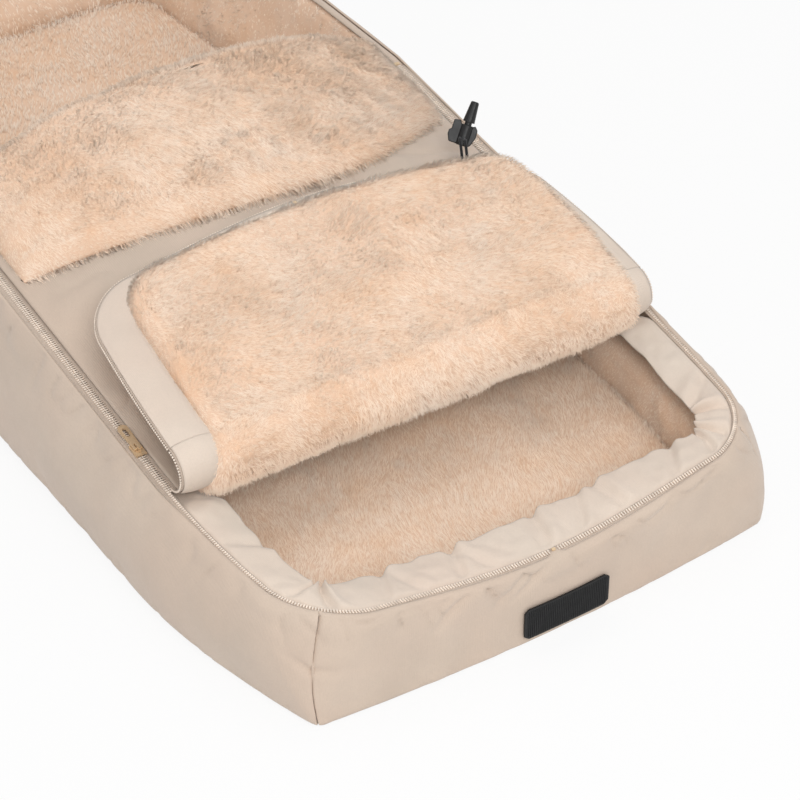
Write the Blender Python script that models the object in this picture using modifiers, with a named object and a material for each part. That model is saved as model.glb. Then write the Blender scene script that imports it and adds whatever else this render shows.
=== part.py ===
"""A stroller footmuff lying on its back, its foot flap unzipped and folded back.

X runs across the footmuff, Y from the foot wall to the head end, and Z up from the floor.
Everything fabric is drawn in a plain box-shaped tub first, and one bend function then gives
the tub its narrow foot, bowed foot wall, bulging sides that lean in, and sagging rim. Each layer goes
through the same bend, so layers that are clear of each other in the box stay clear.
"""
import math

import bmesh
import bpy
from mathutils import Matrix, Vector

MM = 0.001

# The tub.
HALF_WIDTH = 234 * MM
FOOT_Y = -480 * MM
HEAD_Y = 492.8 * MM
RIM = 100 * MM
GAP = 0.3 * MM
FABRIC = 1.6 * MM
WADDING = 10 * MM
WADDING_DROP = 10 * MM
WALL_DROP = 0.5 * MM
BOTTOM_CORNER = 15 * MM
RIM_CORNER = 63 * MM
HEAD_CORNER = 80 * MM
SMALLEST_CORNER = 2 * MM
CORNER_POWER = 1.5
WALL_ARC_SHARE = 0.125
SHARP_ANGLE = math.radians(40)

# How the box is bent.
STRAIGHT_Y = -280 * MM
FOOT_TAPER_SHARE = 0.154
FOOT_BOW = 10 * MM
SIDE_BULGE_SHARE = 0.03
BULGE_POWER = 6
RIM_LEAN_SHARE = 0.064
TRACK_LOW_Y = -270 * MM
TRACK_HIGH_Y = 45 * MM
TRACK_LOW_Z = 97 * MM
TRACK_SLOPE = 0.13
FOOT_CORNER_Z = 85 * MM
FOOT_SAG = 19 * MM
HEAD_DROP_Y = 150 * MM
HEAD_RIM_Z = 70 * MM

# The zip, measured inwards from the outer face and up from the rim.
TAPE_OUT = 1 * MM
TAPE_IN = 8 * MM
TAPE_LOW = 0.3 * MM
TAPE_HIGH = 1.1 * MM
COIL_OUT = 8.3 * MM
COIL_WIDE = 2.1 * MM
COIL_LOW = 0.2 * MM
COIL_HIGH = 2.2 * MM
COIL_SPACE = 2 * MM
ZIP_TOP_Y = 34 * MM
ZIP_END_HALF = 2 * MM
ZIP_SIDE_SHARE = 0.4
ZIP_CORNER_SHARE = 0.35
ZIP_CELLS = 26
SHORT_ZIP_CELLS = 12
FLAP_ZIP_CELLS = 20
OTHER_COIL_OUT = COIL_OUT + COIL_WIDE + COIL_SPACE
OTHER_COIL_IN = OTHER_COIL_OUT + COIL_WIDE
OTHER_TAPE_OUT = OTHER_COIL_IN + GAP
OTHER_TAPE_IN = OTHER_TAPE_OUT + TAPE_IN - TAPE_OUT

# The cover and the flap, again inwards from the outer face.
SHELL_EDGE = 17 * MM
SHELL_LOW = 1.4 * MM
SHELL = 1.4 * MM
PAD_EDGE = 27 * MM
PAD = 8 * MM
FUR_EDGE = 50 * MM
FUR_FRONT = 26 * MM
FUR_RAMP = 24 * MM
FUR_LIP = 4 * MM
FUR_LIP_LONG = 22 * MM
FUR_LIP_DEPTH = 4.5 * MM
FUR_LINES_POWER = 1.7
FUR = 20 * MM
DOME = 44 * MM
DOME_RUN = 170 * MM
DOME_POWER = 2.4
FLAP_CROWN = 8 * MM
LAYER_SPACE = 0.9 * MM
PAD_DEPTH = SHELL + LAYER_SPACE
FUR_DEPTH = PAD_DEPTH + PAD + LAYER_SPACE
FLAP_FACING_THICK = 0.9 * MM
FLAP_FACING_OVER = 1.2 * MM
FLAP_FACING_SPACE = 1.5 * MM
FLAP_FACING_SIDE_SHARE = 0.35
ACROSS_CELLS = 12
ALONG_CELLS = 14

# The fold that the flap turns about, and the one at the upper end of the cover.
FOLD_Y = -304 * MM
FOLD_Z = 112 * MM
FLAP_OPEN = math.radians(174)
TURN_Y = 40 * MM
TURN_EDGE_Y = -116 * MM
TURN_EDGE_X = 30 * MM
TURN_LEFT = -212 * MM
TURN_RIGHT = 204 * MM
TURN_LEFT_SKEW = 50 * MM
TURN_RIGHT_SKEW = 62 * MM
TURN_LIFT = 1 * MM
TURN_FUR = 20 * MM
FOLD_SIDE_SPACE = 2 * MM

# The lining.
FOAM = 8 * MM
FOAM_CORNER = 32 * MM
FLOOR_SPACE = 2.5 * MM
WALL_SPACE = 0.8 * MM
BOLSTER_SPACE = 2.2 * MM
MAT_TOP = 34 * MM
MAT_CROWN = 5 * MM
BOLSTER_EDGE = 48 * MM
BOLSTER_DROP = 31 * MM
BOLSTER_ROUND_SHARE = 0.8
FACING_OUT = 3.2 * MM
FACING_IN = 44 * MM
FACING_TOP = 2 * MM
FACING_DROP = 13 * MM
FACING_END_Y = -150 * MM
FACING_PLEAT = 1.2 * MM
FACING_PLEATS = 9
FACING_SIDE_SHARE = 0.7

# The patch on the foot wall.
PATCH_X = 6 * MM
PATCH_Z = 35.5 * MM
PATCH_HALF_WIDE = 40 * MM
PATCH_HALF_TALL = 20.5 * MM
PATCH_CHAMFER = 4.5 * MM
PATCH_SPACE = 0.6 * MM
PATCH_BACK = 1.4 * MM
PATCH_RIB = 0.8 * MM
PATCH_RIBS = 22

# The sliders and their pulls, about the middle of the gap between the two coils.
SLIDER_Y = -255 * MM
SLIDER_LONG = 12 * MM
SLIDER_PLATE = 1 * MM
SLIDER_CLEAR = 0.3 * MM
SLIDER_HALF = 4.3 * MM
SLIDER_FLANGE = 0.8 * MM
SLIDER_POST = 1.2 * MM
SLIDER_POST_LONG = 3 * MM
BRIDGE_WIDE = 1.6 * MM
BRIDGE_LONG = 6 * MM
BRIDGE_LEG = 1 * MM
BRIDGE_SPACE = 2.6 * MM
BRIDGE_BAR = 1 * MM
PULL_AXIS_UP = 1.3 * MM
PULL_THICK = 1.4 * MM
PULL_BACK = 0.7 * MM
PULL_LONG = 26 * MM
PULL_HALF_WIDE = 4 * MM
PULL_NECK = 3.2 * MM
PULL_EYE_HALF = 1.5 * MM
PULL_EYE_FROM = 0.75 * MM
PULL_EYE_TO = 4.3 * MM
PULL_HOLE_HALF = 1.7 * MM
PULL_HOLE_FROM = 13 * MM
PULL_HOLE_TO = 22 * MM
PULL_ARC_STEPS = 8
STOP_LONG = 3 * MM
STOP_HALF = 1.6 * MM

# The cord lock on the cover, with its cord and eyelet.
LOCK_SIDE = 64 * MM
LOCK_BASE = Vector((HALF_WIDTH - LOCK_SIDE, -116 * MM, 152 * MM))
LOCK_AXIS = Vector((0.56, 0.28, 0.78)).normalized()
LOCK_FACING = Vector((0.436, 0.656, -0.616)).normalized()
LOCK_TALL = 17 * MM
LOCK_FOOT_HALF = 9 * MM
LOCK_HALF_WIDE = 12 * MM
LOCK_SHOULDER_HALF = 7.5 * MM
LOCK_HALF_THICK = 2.2 * MM
LOCK_SLEEVE = 5 * MM
LOCK_BORE = 3.3 * MM
LOCK_FLOOR = 6.4 * MM
LOCK_HOLE_HALF_WIDE = 4.2 * MM
LOCK_HOLE_LOW = 1.8 * MM
LOCK_HOLE_HIGH = 5.6 * MM
STEM = 2.9 * MM
STEM_LONG = 6.5 * MM
PLUNGER_WIDE = 4.8 * MM
PLUNGER_NARROW = 3.3 * MM
PLUNGER_EDGE = 0.7 * MM
PLUNGER_LONG = 17 * MM
PLUNGER_STROKE = 2 * MM
ROUND_STEPS = 20
SPRING_WIRE = 0.35 * MM
SPRING_RADIUS = 2.1 * MM
SPRING_TURNS = 5
SPRING_POINTS = 10
CORD = 2.4 * MM
CORD_APART = 4.4 * MM
CORD_LOOP_HALF = 4.8 * MM
CORD_FRONT = 9 * MM
CORD_BACK = 7 * MM
CORD_LOOP_LONG = 10 * MM
CORD_RISE = 8 * MM
CORD_STEPS = 3
EYELET_SIDE = 61 * MM
EYELET_X = HALF_WIDTH - EYELET_SIDE
EYELET_Y = -128 * MM
EYELET_OUT = 6.5 * MM
EYELET_IN = 4.2 * MM
EYELET_THICK = 1 * MM
EYELET_SPACE = 0.5 * MM


def linear(value):
    """One sRGB channel, from 0 to 255, as linear light."""
    share = value / 255
    return share / 12.92 if share <= 0.04045 else ((share + 0.055) / 1.055) ** 2.4


def material(name, colour, roughness, metallic=0.0):
    made = bpy.data.materials.new(name)
    made.use_nodes = True
    shader = made.node_tree.nodes["Principled BSDF"]
    shader.inputs["Base Color"].default_value = (*[linear(c) for c in colour], 1)
    shader.inputs["Roughness"].default_value = roughness
    shader.inputs["Metallic"].default_value = metallic
    made.diffuse_color = (*[linear(c) for c in colour], 1)
    return made


def clamp(value, low=0.0, high=1.0):
    return max(low, min(high, value))


def smooth(value):
    value = clamp(value)
    return value * value * (3 - 2 * value)


# The bend.


def foot_share(y):
    """0 where the sides are straight, 1 at the foot wall."""
    return clamp((STRAIGHT_Y - y) / (STRAIGHT_Y - FOOT_Y))


def side_rim(y):
    """Height of the rim along the sides: straight where the sliders run."""
    if y < TRACK_LOW_Y:
        back = TRACK_LOW_Y - y
        whole = TRACK_LOW_Y - FOOT_Y
        lift = (FOOT_CORNER_Z - TRACK_LOW_Z + TRACK_SLOPE * whole) / whole**2
        return TRACK_LOW_Z - TRACK_SLOPE * back + lift * back**2
    top = TRACK_LOW_Z + TRACK_SLOPE * (TRACK_HIGH_Y - TRACK_LOW_Y)
    if y <= TRACK_HIGH_Y:
        return TRACK_LOW_Z + TRACK_SLOPE * (y - TRACK_LOW_Y)
    fall = smooth((y - HEAD_DROP_Y) / (HEAD_Y - HEAD_DROP_Y))
    return top + (HEAD_RIM_Z - top) * fall


def rim_height(x, y):
    middle = math.cos(math.pi / 2 * clamp(abs(x) / HALF_WIDTH)) ** 2
    return side_rim(y) - FOOT_SAG * middle * foot_share(y) ** 2


def bend(point):
    """Takes a point of the plain box to its place in the footmuff."""
    x, y, z = point
    rim = rim_height(x, y)
    level = clamp(z / RIM)
    share = foot_share(y)
    outer = clamp(abs(x) / HALF_WIDTH)
    bulge = SIDE_BULGE_SHARE * math.sin(math.pi * level) * outer**BULGE_POWER
    lean = RIM_LEAN_SHARE * level**2 * (1 - share**2)
    wide = (1 - FOOT_TAPER_SHARE * share**2) * (1 + bulge - lean)
    bow = FOOT_BOW * (1 - outer**2) * share**2
    high = z * rim / RIM if z < RIM else z - RIM + rim
    return Vector((x * wide, y - bow, high))


# The plan of the tub, seen from above.


def corner_at(level):
    """Radius of the two foot corners, nearly square below and round at the rim."""
    return BOTTOM_CORNER + (RIM_CORNER - BOTTOM_CORNER) * clamp(level) ** CORNER_POWER


def plan_corner(number, inset, foot_radius):
    """Centre and radius of a corner: 0 and 1 at the foot, 2 and 3 at the head, anticlockwise."""
    full = foot_radius if number < 2 else HEAD_CORNER
    radius = max(full - inset, SMALLEST_CORNER)
    x = HALF_WIDTH - inset - radius
    y = FOOT_Y + inset + radius if number < 2 else HEAD_Y - inset - radius
    return Vector((x if number in (1, 2) else -x, y)), radius


def turn(centre, radius, angle):
    return centre + radius * Vector((math.cos(angle), math.sin(angle)))


def wall_plan(number, u, inset, foot_radius):
    """A point on wall 0 foot, 1 right, 2 head or 3 left: half a corner, a straight, half a corner."""
    first, first_radius = plan_corner(number, inset, foot_radius)
    last, last_radius = plan_corner((number + 1) % 4, inset, foot_radius)
    middle = math.radians(270 + 90 * number)
    if u <= WALL_ARC_SHARE:
        start = middle - math.pi / 4 + GAP / 2 / first_radius
        share = u / WALL_ARC_SHARE
        return turn(first, first_radius, start + (middle - start) * share)
    if u >= 1 - WALL_ARC_SHARE:
        end = middle + math.pi / 4 - GAP / 2 / last_radius
        share = (u - 1 + WALL_ARC_SHARE) / WALL_ARC_SHARE
        return turn(last, last_radius, middle + (end - middle) * share)
    share = (u - WALL_ARC_SHARE) / (1 - 2 * WALL_ARC_SHARE)
    one = turn(first, first_radius, middle)
    two = turn(last, last_radius, middle)
    return one.lerp(two, share)


def zip_plan(u, inset, top_y=ZIP_TOP_Y, side_share=ZIP_SIDE_SHARE):
    """Along one half of the rim: down the left side, round the foot corner, to the middle."""
    centre, radius = plan_corner(0, inset, RIM_CORNER)
    if u <= side_share:
        share = u / side_share
        return Vector((centre.x - radius, top_y + (centre.y - top_y) * share))
    corner_end = side_share + ZIP_CORNER_SHARE
    if u <= corner_end:
        quarter = (u - side_share) / ZIP_CORNER_SHARE
        return turn(centre, radius, math.pi * (1 + quarter / 2))
    share = (u - corner_end) / (1 - corner_end)
    return Vector((centre.x + (-ZIP_END_HALF - centre.x) * share, centre.y - radius))


# Solids.


def new_object(name, mesh_or_curve, look, home):
    thing = bpy.data.objects.new(name, mesh_or_curve)
    mesh_or_curve.materials.append(look)
    home.objects.link(thing)
    return thing


def mesh_from(bm, name):
    bmesh.ops.recalc_face_normals(bm, faces=bm.faces)
    if bm.calc_volume(signed=True) < 0:
        bmesh.ops.reverse_faces(bm, faces=bm.faces)
    mesh = bpy.data.meshes.new(name)
    bm.to_mesh(mesh)
    bm.free()
    mesh.shade_smooth()
    mesh.set_sharp_from_angle(angle=SHARP_ANGLE)
    return mesh


def split_alike(bm):
    """Splits each cell of a block's two broad sides along the same diagonal, so layers nest."""
    for face in list(bm.faces):
        if abs(face.normal.z) < 0.5:
            continue
        corners = sorted(face.verts, key=lambda vert: vert.co.x + vert.co.y)
        bmesh.utils.face_split(face, corners[0], corners[-1])


def block(name, cells, place, look, home):
    """A cube cut into cells, whose points place(u, v, w) moves, with u, v and w from 0 to 1."""
    bm = bmesh.new()
    bmesh.ops.create_cube(bm, size=1)
    for axis, count in enumerate(cells):
        if count < 2:
            continue
        along = [
            edge
            for edge in bm.edges
            if abs(edge.verts[0].co[axis] - edge.verts[1].co[axis]) > 0.5
        ]
        bmesh.ops.subdivide_edges(bm, edges=along, cuts=count - 1, use_grid_fill=True)
    bm.normal_update()
    split_alike(bm)
    for vert in bm.verts:
        vert.co = place(*[c + 0.5 for c in vert.co])
    return new_object(name, mesh_from(bm, name), look, home)


def rounded(a, b, share):
    """A point of the square from -1 to 1, drawn towards the disc inside it."""
    round_a = a * math.sqrt(1 - b * b / 2)
    round_b = b * math.sqrt(1 - a * a / 2)
    return a + (round_a - a) * share, b + (round_b - b) * share


def mirrored(place):
    """The same shape on the other side."""

    def other(u, v, w):
        x, y, z = place(u, v, w)
        return Vector((-x, y, z))

    return other


# The tub's layers.


def wall_layer(number, near, far, low, high):
    """A standing layer of one wall, between two insets and two heights in the box."""

    def place(u, v, w):
        z = low + (high - low) * v
        inset = near + (far - near) * w
        plan = wall_plan(number, u, inset, corner_at(z / RIM))
        return bend((plan.x, plan.y, z))

    return place


def bolster_layer(number):
    """A rounded fur bolster at the foot of one wall."""
    near = FABRIC + WADDING + WALL_SPACE + BOLSTER_SPACE
    low = FABRIC + FOAM + 2 * GAP
    high = RIM - BOLSTER_DROP

    def place(u, v, w):
        across, up = rounded(2 * w - 1, 2 * v - 1, BOLSTER_ROUND_SHARE)
        z = low + (high - low) * (up + 1) / 2
        inset = near + (BOLSTER_EDGE - near) * (across + 1) / 2
        plan = wall_plan(number, u, inset, RIM_CORNER)
        return bend((plan.x, plan.y, z))

    return place


def spread(u):
    """Points closer together near both ends, for rounded corners."""
    return 0.5 - 0.5 * math.cos(math.pi * u)


def floor_layer(inset, low, high, crown=0.0, foot_corner=BOTTOM_CORNER):
    """A flat layer over the whole floor, with rounded corners in plan."""

    def place(u, v, w):
        across, along = 2 * spread(u) - 1, 2 * spread(v) - 1
        half_x = HALF_WIDTH - inset
        half_y = (HEAD_Y - FOOT_Y) / 2 - inset
        corner = foot_corner if along < 0 else HEAD_CORNER
        radius = max(corner - inset, SMALLEST_CORNER)
        x, y = across * half_x, along * half_y
        over_x = max(abs(x) - half_x + radius, 0)
        over_y = max(abs(y) - half_y + radius, 0)
        reach = math.hypot(over_x, over_y)
        if over_x > 0 and over_y > 0:
            pull = max(over_x, over_y) / reach
            x = math.copysign(abs(x) - over_x + over_x * pull, x)
            y = math.copysign(abs(y) - over_y + over_y * pull, y)
        rise = crown * (1 - across**4) * (1 - along**4)
        z = low if w < 0.5 else high + rise
        return bend((x, y + (HEAD_Y + FOOT_Y) / 2, z))

    return place


def build_tub(looks, home):
    panel = floor_layer(0, 0, FABRIC)
    block("back_panel", (12, 16, 1), panel, looks["fabric"], home)
    inside = FABRIC + WADDING + 2 * WALL_SPACE + FLOOR_SPACE
    low = FABRIC + GAP
    foam = floor_layer(inside, low, low + FOAM, 0, FOAM_CORNER)
    block("back_foam", (10, 14, 1), foam, looks["wadding"], home)
    mat_low = low + FOAM + GAP
    mat = floor_layer(BOLSTER_EDGE + FLOOR_SPACE, mat_low, MAT_TOP, MAT_CROWN, RIM_CORNER)
    block("fur_floor_mat", (12, 18, 1), mat, looks["fur"], home)
    names = ("foot", "right", "head", "left")
    for number, side in enumerate(names):
        cells = 16 if number in (0, 2) else 32
        outer = wall_layer(number, 0, FABRIC, low, RIM - WALL_DROP)
        wall = "foot_wall" if number == 0 else "head_wall" if number == 2 else side + "_wall"
        block(wall, (cells, 6, 1), outer, looks["fabric"], home)
        near = FABRIC + WALL_SPACE
        padding = wall_layer(number, near, near + WADDING, low, RIM - WADDING_DROP)
        block(side + "_wall_wadding", (cells, 6, 1), padding, looks["wadding"], home)
        fur = bolster_layer(number)
        block(side + "_fur_bolster", (cells, 3, 3), fur, looks["fur"], home)


# The facing inside the open foot.


def facing_height(inset):
    share = clamp((inset - FACING_OUT) / (FACING_IN - FACING_OUT))
    return RIM - FACING_TOP - FACING_DROP * smooth(share)


def facing_layer(side):
    def place(u, v, w):
        inset = FACING_OUT + (FACING_IN - FACING_OUT) * v
        if side == 0:
            plan = wall_plan(0, u, inset, RIM_CORNER)
        else:
            centre, radius = plan_corner(0, inset, RIM_CORNER)
            turned = math.pi / 4 - GAP / 2 / radius
            if u <= FACING_SIDE_SHARE:
                share = u / FACING_SIDE_SHARE
                y = FACING_END_Y + (centre.y - FACING_END_Y) * share
                plan = Vector((centre.x - radius, y))
            else:
                share = (u - FACING_SIDE_SHARE) / (1 - FACING_SIDE_SHARE)
                plan = turn(centre, radius, math.pi + turned * share)
        pleat = math.sin(2 * math.pi * FACING_PLEATS * u) * FACING_PLEAT * v
        z = facing_height(inset) - FABRIC * (1 - w) + pleat
        return bend((plan.x, plan.y, z))

    return mirrored(place) if side == 1 else place


def build_facing(looks, home):
    for side, name in ((0, "facing_foot"), (1, "facing_right"), (-1, "facing_left")):
        block(name, (24, 3, 1), facing_layer(side), looks["light fabric"], home)


# The zip.


def rail(near, far, low, high, top_y=ZIP_TOP_Y):
    """A bar that follows the rim between two insets and two heights."""

    def place(u, v, w):
        plan = zip_plan(u, near + (far - near) * v, top_y)
        return bend((plan.x, plan.y, RIM + low + (high - low) * w))

    return place


def straight_rail(near, far, low, high, from_y, to_y):
    """The same on the straight stretch of the side only."""

    def place(u, v, w):
        x = -(HALF_WIDTH - near - (far - near) * v)
        y = from_y + (to_y - from_y) * u
        return bend((x, y, RIM + low + (high - low) * w))

    return place


def sides(name, place):
    yield name + "_left", place
    yield name + "_right", mirrored(place)


def build_body_zip(looks, home):
    tape = rail(TAPE_OUT, TAPE_IN, TAPE_LOW, TAPE_HIGH)
    for name, place in sides("zip_tape_body", tape):
        block(name, (ZIP_CELLS, 1, 1), place, looks["tape"], home)
    coil = rail(COIL_OUT, COIL_OUT + COIL_WIDE, COIL_LOW, COIL_HIGH)
    for name, place in sides("zip_coil_body", coil):
        block(name, (ZIP_CELLS, 1, 1), place, looks["coil"], home)


def build_cover_zip(looks, home):
    low_y = FOLD_Y + GAP
    tape = straight_rail(
        OTHER_TAPE_OUT, OTHER_TAPE_IN, TAPE_LOW, TAPE_HIGH, ZIP_TOP_Y, low_y
    )
    for name, place in sides("zip_tape_cover", tape):
        block(name, (SHORT_ZIP_CELLS, 1, 1), place, looks["tape"], home)
    coil = straight_rail(
        OTHER_COIL_OUT, OTHER_COIL_IN, COIL_LOW, COIL_HIGH, ZIP_TOP_Y, low_y
    )
    for name, place in sides("zip_coil_cover", coil):
        block(name, (SHORT_ZIP_CELLS, 1, 1), place, looks["coil"], home)


# The cover.


def dome(x, y):
    """How far the cover rises over the legs."""
    edge = HALF_WIDTH - SHELL_EDGE
    across = 1 - clamp(abs(x) / edge) ** DOME_POWER
    return DOME * smooth((y - FOLD_Y) / DOME_RUN) * across


def lines_across(edge):
    """Where the cover's layers have their points: the same lines on each, as far as its edge."""
    inner = HALF_WIDTH - FUR_EDGE
    lines = [inner * (2 * i / ACROSS_CELLS - 1) for i in range(ACROSS_CELLS + 1)]
    for wider in (PAD_EDGE, SHELL_EDGE):
        if edge <= wider:
            x = HALF_WIDTH - wider
            lines = [-x, *lines, x]
    return lines


def cover_layer(name, edge, depth, thick, look, home):
    """A layer of the cover, depth below its top and thick, from the foot fold to the upper end."""
    lines = lines_across(edge)
    cells = len(lines) - 1
    from_y = FOLD_Y + GAP

    def place(u, v, w):
        x = lines[round(u * cells)]
        y = from_y + (TURN_Y - from_y) * v
        top = RIM + SHELL_LOW + SHELL + dome(x, y) - depth
        return bend((x, y, top - thick * (1 - w)))

    return block(name, (cells, ALONG_CELLS, 1), place, look, home)


def build_cover(looks, home):
    cover_layer("cover_shell", SHELL_EDGE, 0, SHELL, looks["fabric"], home)
    cover_layer("cover_wadding", PAD_EDGE, PAD_DEPTH, PAD, looks["wadding"], home)
    cover_layer("cover_fur_lining", FUR_EDGE, FUR_DEPTH, FUR, looks["fur"], home)


# The flap, drawn closed over the foot. Its parent empty stands on the fold and turns it back.


def flap_rise(x, y):
    along = clamp((FOLD_Y - y) / (FOLD_Y - FOOT_Y))
    across = 1 - clamp(abs(x) / (HALF_WIDTH - SHELL_EDGE)) ** 2
    return FLAP_CROWN * across * math.sin(math.pi * along)


def axis_empty(name, place, angle, home):
    """An empty on a hinge's axis, turned by the angle about X."""
    empty = bpy.data.objects.new(name, None)
    empty.location = place
    empty.rotation_euler.x = angle
    home.objects.link(empty)
    return empty


def hung(name, cells, place, look, home, empty):
    """A block drawn about an empty's place and carried by it."""

    def about(u, v, w):
        return Vector(place(u, v, w)) - empty.location

    piece = block(name, cells, about, look, home)
    piece.parent = empty
    return piece


def flap_plan(u, v, edge, front=0.0):
    """A point of the flap seen from above: u across, v from the fold to the free edge."""
    centre, radius = plan_corner(0, edge, RIM_CORNER)
    across = 2 * u - 1
    half = HALF_WIDTH - edge
    start_y = FOLD_Y - GAP
    x = across * half
    over = max(abs(x) - abs(centre.x), 0)
    end_y = centre.y - math.sqrt(max(radius**2 - over**2, 0)) - front
    return Vector((x, start_y + (end_y - start_y) * v))


def flap_layer(edge, depth, thick):
    def place(u, v, w):
        plan = flap_plan(spread(u), v, edge)
        top = RIM + SHELL_LOW + SHELL + flap_rise(plan.x, plan.y) - depth
        return bend((plan.x, plan.y, top - thick * (1 - w)))

    return place


def flap_fur(u, v, w):
    """The flap's fur reaches over the facing at the free edge, where it thins to a lip."""
    along = 1 - (1 - v) ** FUR_LINES_POWER
    plan = flap_plan(spread(u), along, FUR_EDGE, FUR_EDGE - FUR_FRONT)
    left = plan.y - flap_plan(spread(u), 1, FUR_EDGE, FUR_EDGE - FUR_FRONT).y
    full = smooth(left / FUR_LIP_LONG)
    depth = FUR_LIP_DEPTH + (FUR_DEPTH - FUR_LIP_DEPTH) * full
    thick = FUR_LIP + (FUR - FUR_LIP) * smooth((left - FUR_LIP_LONG) / FUR_RAMP)
    top = RIM + SHELL_LOW + SHELL + flap_rise(plan.x, plan.y) * full - depth
    return bend((plan.x, plan.y, top - thick * (1 - w)))


def flap_facing():
    """The beige strip along the flap's edge, on its fur side."""
    near = SHELL_EDGE + TAPE_IN - TAPE_OUT - FLAP_FACING_OVER
    far = FUR_EDGE - FLAP_FACING_SPACE

    def place(u, v, w):
        inset = near + (far - near) * v
        plan = zip_plan(u, inset, FOLD_Y - GAP, FLAP_FACING_SIDE_SHARE)
        return bend((plan.x, plan.y, RIM - GAP - FLAP_FACING_THICK * (1 - w)))

    return place


def build_flap(looks, home):
    fold = axis_empty("foot_flap_axis", (0, FOLD_Y, FOLD_Z), -FLAP_OPEN, home)
    fabric, light = looks["fabric"], looks["light fabric"]
    hung("flap_shell", (18, 8, 1), flap_layer(SHELL_EDGE, 0, SHELL), fabric, home, fold)
    padding = flap_layer(FUR_EDGE, PAD_DEPTH, PAD)
    hung("flap_wadding", (14, 8, 1), padding, looks["wadding"], home, fold)
    hung("flap_fur_lining", (14, 10, 2), flap_fur, looks["fur"], home, fold)
    end_y = FOLD_Y - GAP
    tape = rail(OTHER_TAPE_OUT, OTHER_TAPE_IN, TAPE_LOW, TAPE_HIGH, end_y)
    coil = rail(OTHER_COIL_OUT, OTHER_COIL_IN, COIL_LOW, COIL_HIGH, end_y)
    cells = (FLAP_ZIP_CELLS, 1, 1)
    for name, place in sides("flap_zip_tape", tape):
        hung(name, cells, place, looks["tape"], home, fold)
    for name, place in sides("flap_zip_coil", coil):
        hung(name, cells, place, looks["coil"], home, fold)
    for name, place in sides("flap_facing", flap_facing()):
        hung(name, cells, place, light, home, fold)
    clip = foot_stop(OTHER_COIL_OUT)
    hung("zip_foot_stop_flap", (1, 1, 1), clip, looks["metal"], home, fold)


# The two folds: half rolls of the cover's own layers.


def fold_layer(edge, depth, thick):
    """A layer of the foot fold, bent round its axis from the cover's end to the flap's start."""
    inner = FOLD_Z - rim_height(HALF_WIDTH, FOLD_Y) - SHELL_LOW - SHELL + depth
    start = math.radians(270)

    def place(u, v, w):
        x = (HALF_WIDTH - edge) * (2 * u - 1)
        radius = inner + thick * w
        angle = start - FLAP_OPEN * v
        bent = bend((x, FOLD_Y, RIM))
        return Vector(
            (bent.x, FOLD_Y + radius * math.cos(angle), FOLD_Z + radius * math.sin(angle))
        )

    return place


def turn_edge(x):
    """The turn-down's free edge runs in a shallow curve, nearer the foot in its middle."""
    if x < TURN_EDGE_X:
        away = (TURN_EDGE_X - x) / (TURN_EDGE_X - TURN_LEFT)
        return TURN_EDGE_Y + TURN_LEFT_SKEW * away**2
    away = (x - TURN_EDGE_X) / (TURN_RIGHT - TURN_EDGE_X)
    return TURN_EDGE_Y + TURN_RIGHT_SKEW * away**2


def turn_down_layer(depth, thick):
    """A layer of the turn-down, lying over the cover with its fur side up."""

    def place(u, v, w):
        x = TURN_LEFT + (TURN_RIGHT - TURN_LEFT) * u
        edge = turn_edge(x)
        y = edge + (TURN_Y - GAP - edge) * v
        high = RIM + SHELL_LOW + SHELL + dome(x, y) + TURN_LIFT + depth + thick * w
        return bend((x, y, high))

    return place


def turn_middle(x):
    """The line that the roll at the cover's upper end is wound about."""
    high = RIM + SHELL_LOW + SHELL + dome(x, TURN_Y) + TURN_LIFT / 2
    return bend((x, TURN_Y, high)) + Vector((0, GAP, 0))


def turn_roll_layer(depth, thick):
    """The roll at the upper end of the cover that joins it to the turn-down."""

    def place(u, v, w):
        x = TURN_LEFT + (TURN_RIGHT - TURN_LEFT) * u
        angle = math.pi * (v - 0.5)
        radius = TURN_LIFT / 2 + depth + thick * w
        return turn_middle(x) + Vector((0, radius * math.cos(angle), radius * math.sin(angle)))

    return place


def build_foot_fold(looks, home):
    shell = fold_layer(SHELL_EDGE + FOLD_SIDE_SPACE, 0, SHELL)
    block("fold_shell", (10, 10, 1), shell, looks["fabric"], home)
    padding = fold_layer(FUR_EDGE, PAD_DEPTH, PAD)
    block("fold_wadding", (8, 10, 1), padding, looks["wadding"], home)
    fur = fold_layer(FUR_EDGE, FUR_DEPTH, FUR)
    block("fold_fur", (12, 12, 2), fur, looks["fur"], home)


def build_turn_down(looks, home):
    """The turn-down hangs on an empty on the line it folds about; its roll stays on the cover."""
    fabric, fur = looks["fabric"], looks["fur"]
    fur_from = SHELL + GAP
    fold = axis_empty("turn_down_axis", turn_middle(0), 0, home)
    hung("turn_down_shell", (12, 7, 1), turn_down_layer(0, SHELL), fabric, home, fold)
    hung("turn_down_fur", (12, 7, 2), turn_down_layer(fur_from, TURN_FUR), fur, home, fold)
    block("turn_roll_shell", (12, 6, 1), turn_roll_layer(0, SHELL), fabric, home)
    block("turn_roll_fur", (12, 6, 2), turn_roll_layer(fur_from, TURN_FUR), fur, home)


# The small pieces.


def united(base, joined, cut, home, tools):
    """Joins helper shapes to a base shape and cuts others from it."""
    for other in (*joined, *cut):
        home.objects.unlink(other)
        tools.objects.link(other)
        other.hide_render = True
        other.display_type = "WIRE"
        change = base.modifiers.new(other.name, "BOOLEAN")
        change.operation = "UNION" if other in joined else "DIFFERENCE"
        change.object = other


def box(name, low, high, look, home):
    """A plain box between two corners."""

    def place(u, v, w):
        share = Vector((u, v, w))
        return Vector([a + (b - a) * s for a, b, s in zip(low, high, share)])

    return block(name, (1, 1, 1), place, look, home)


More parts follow.
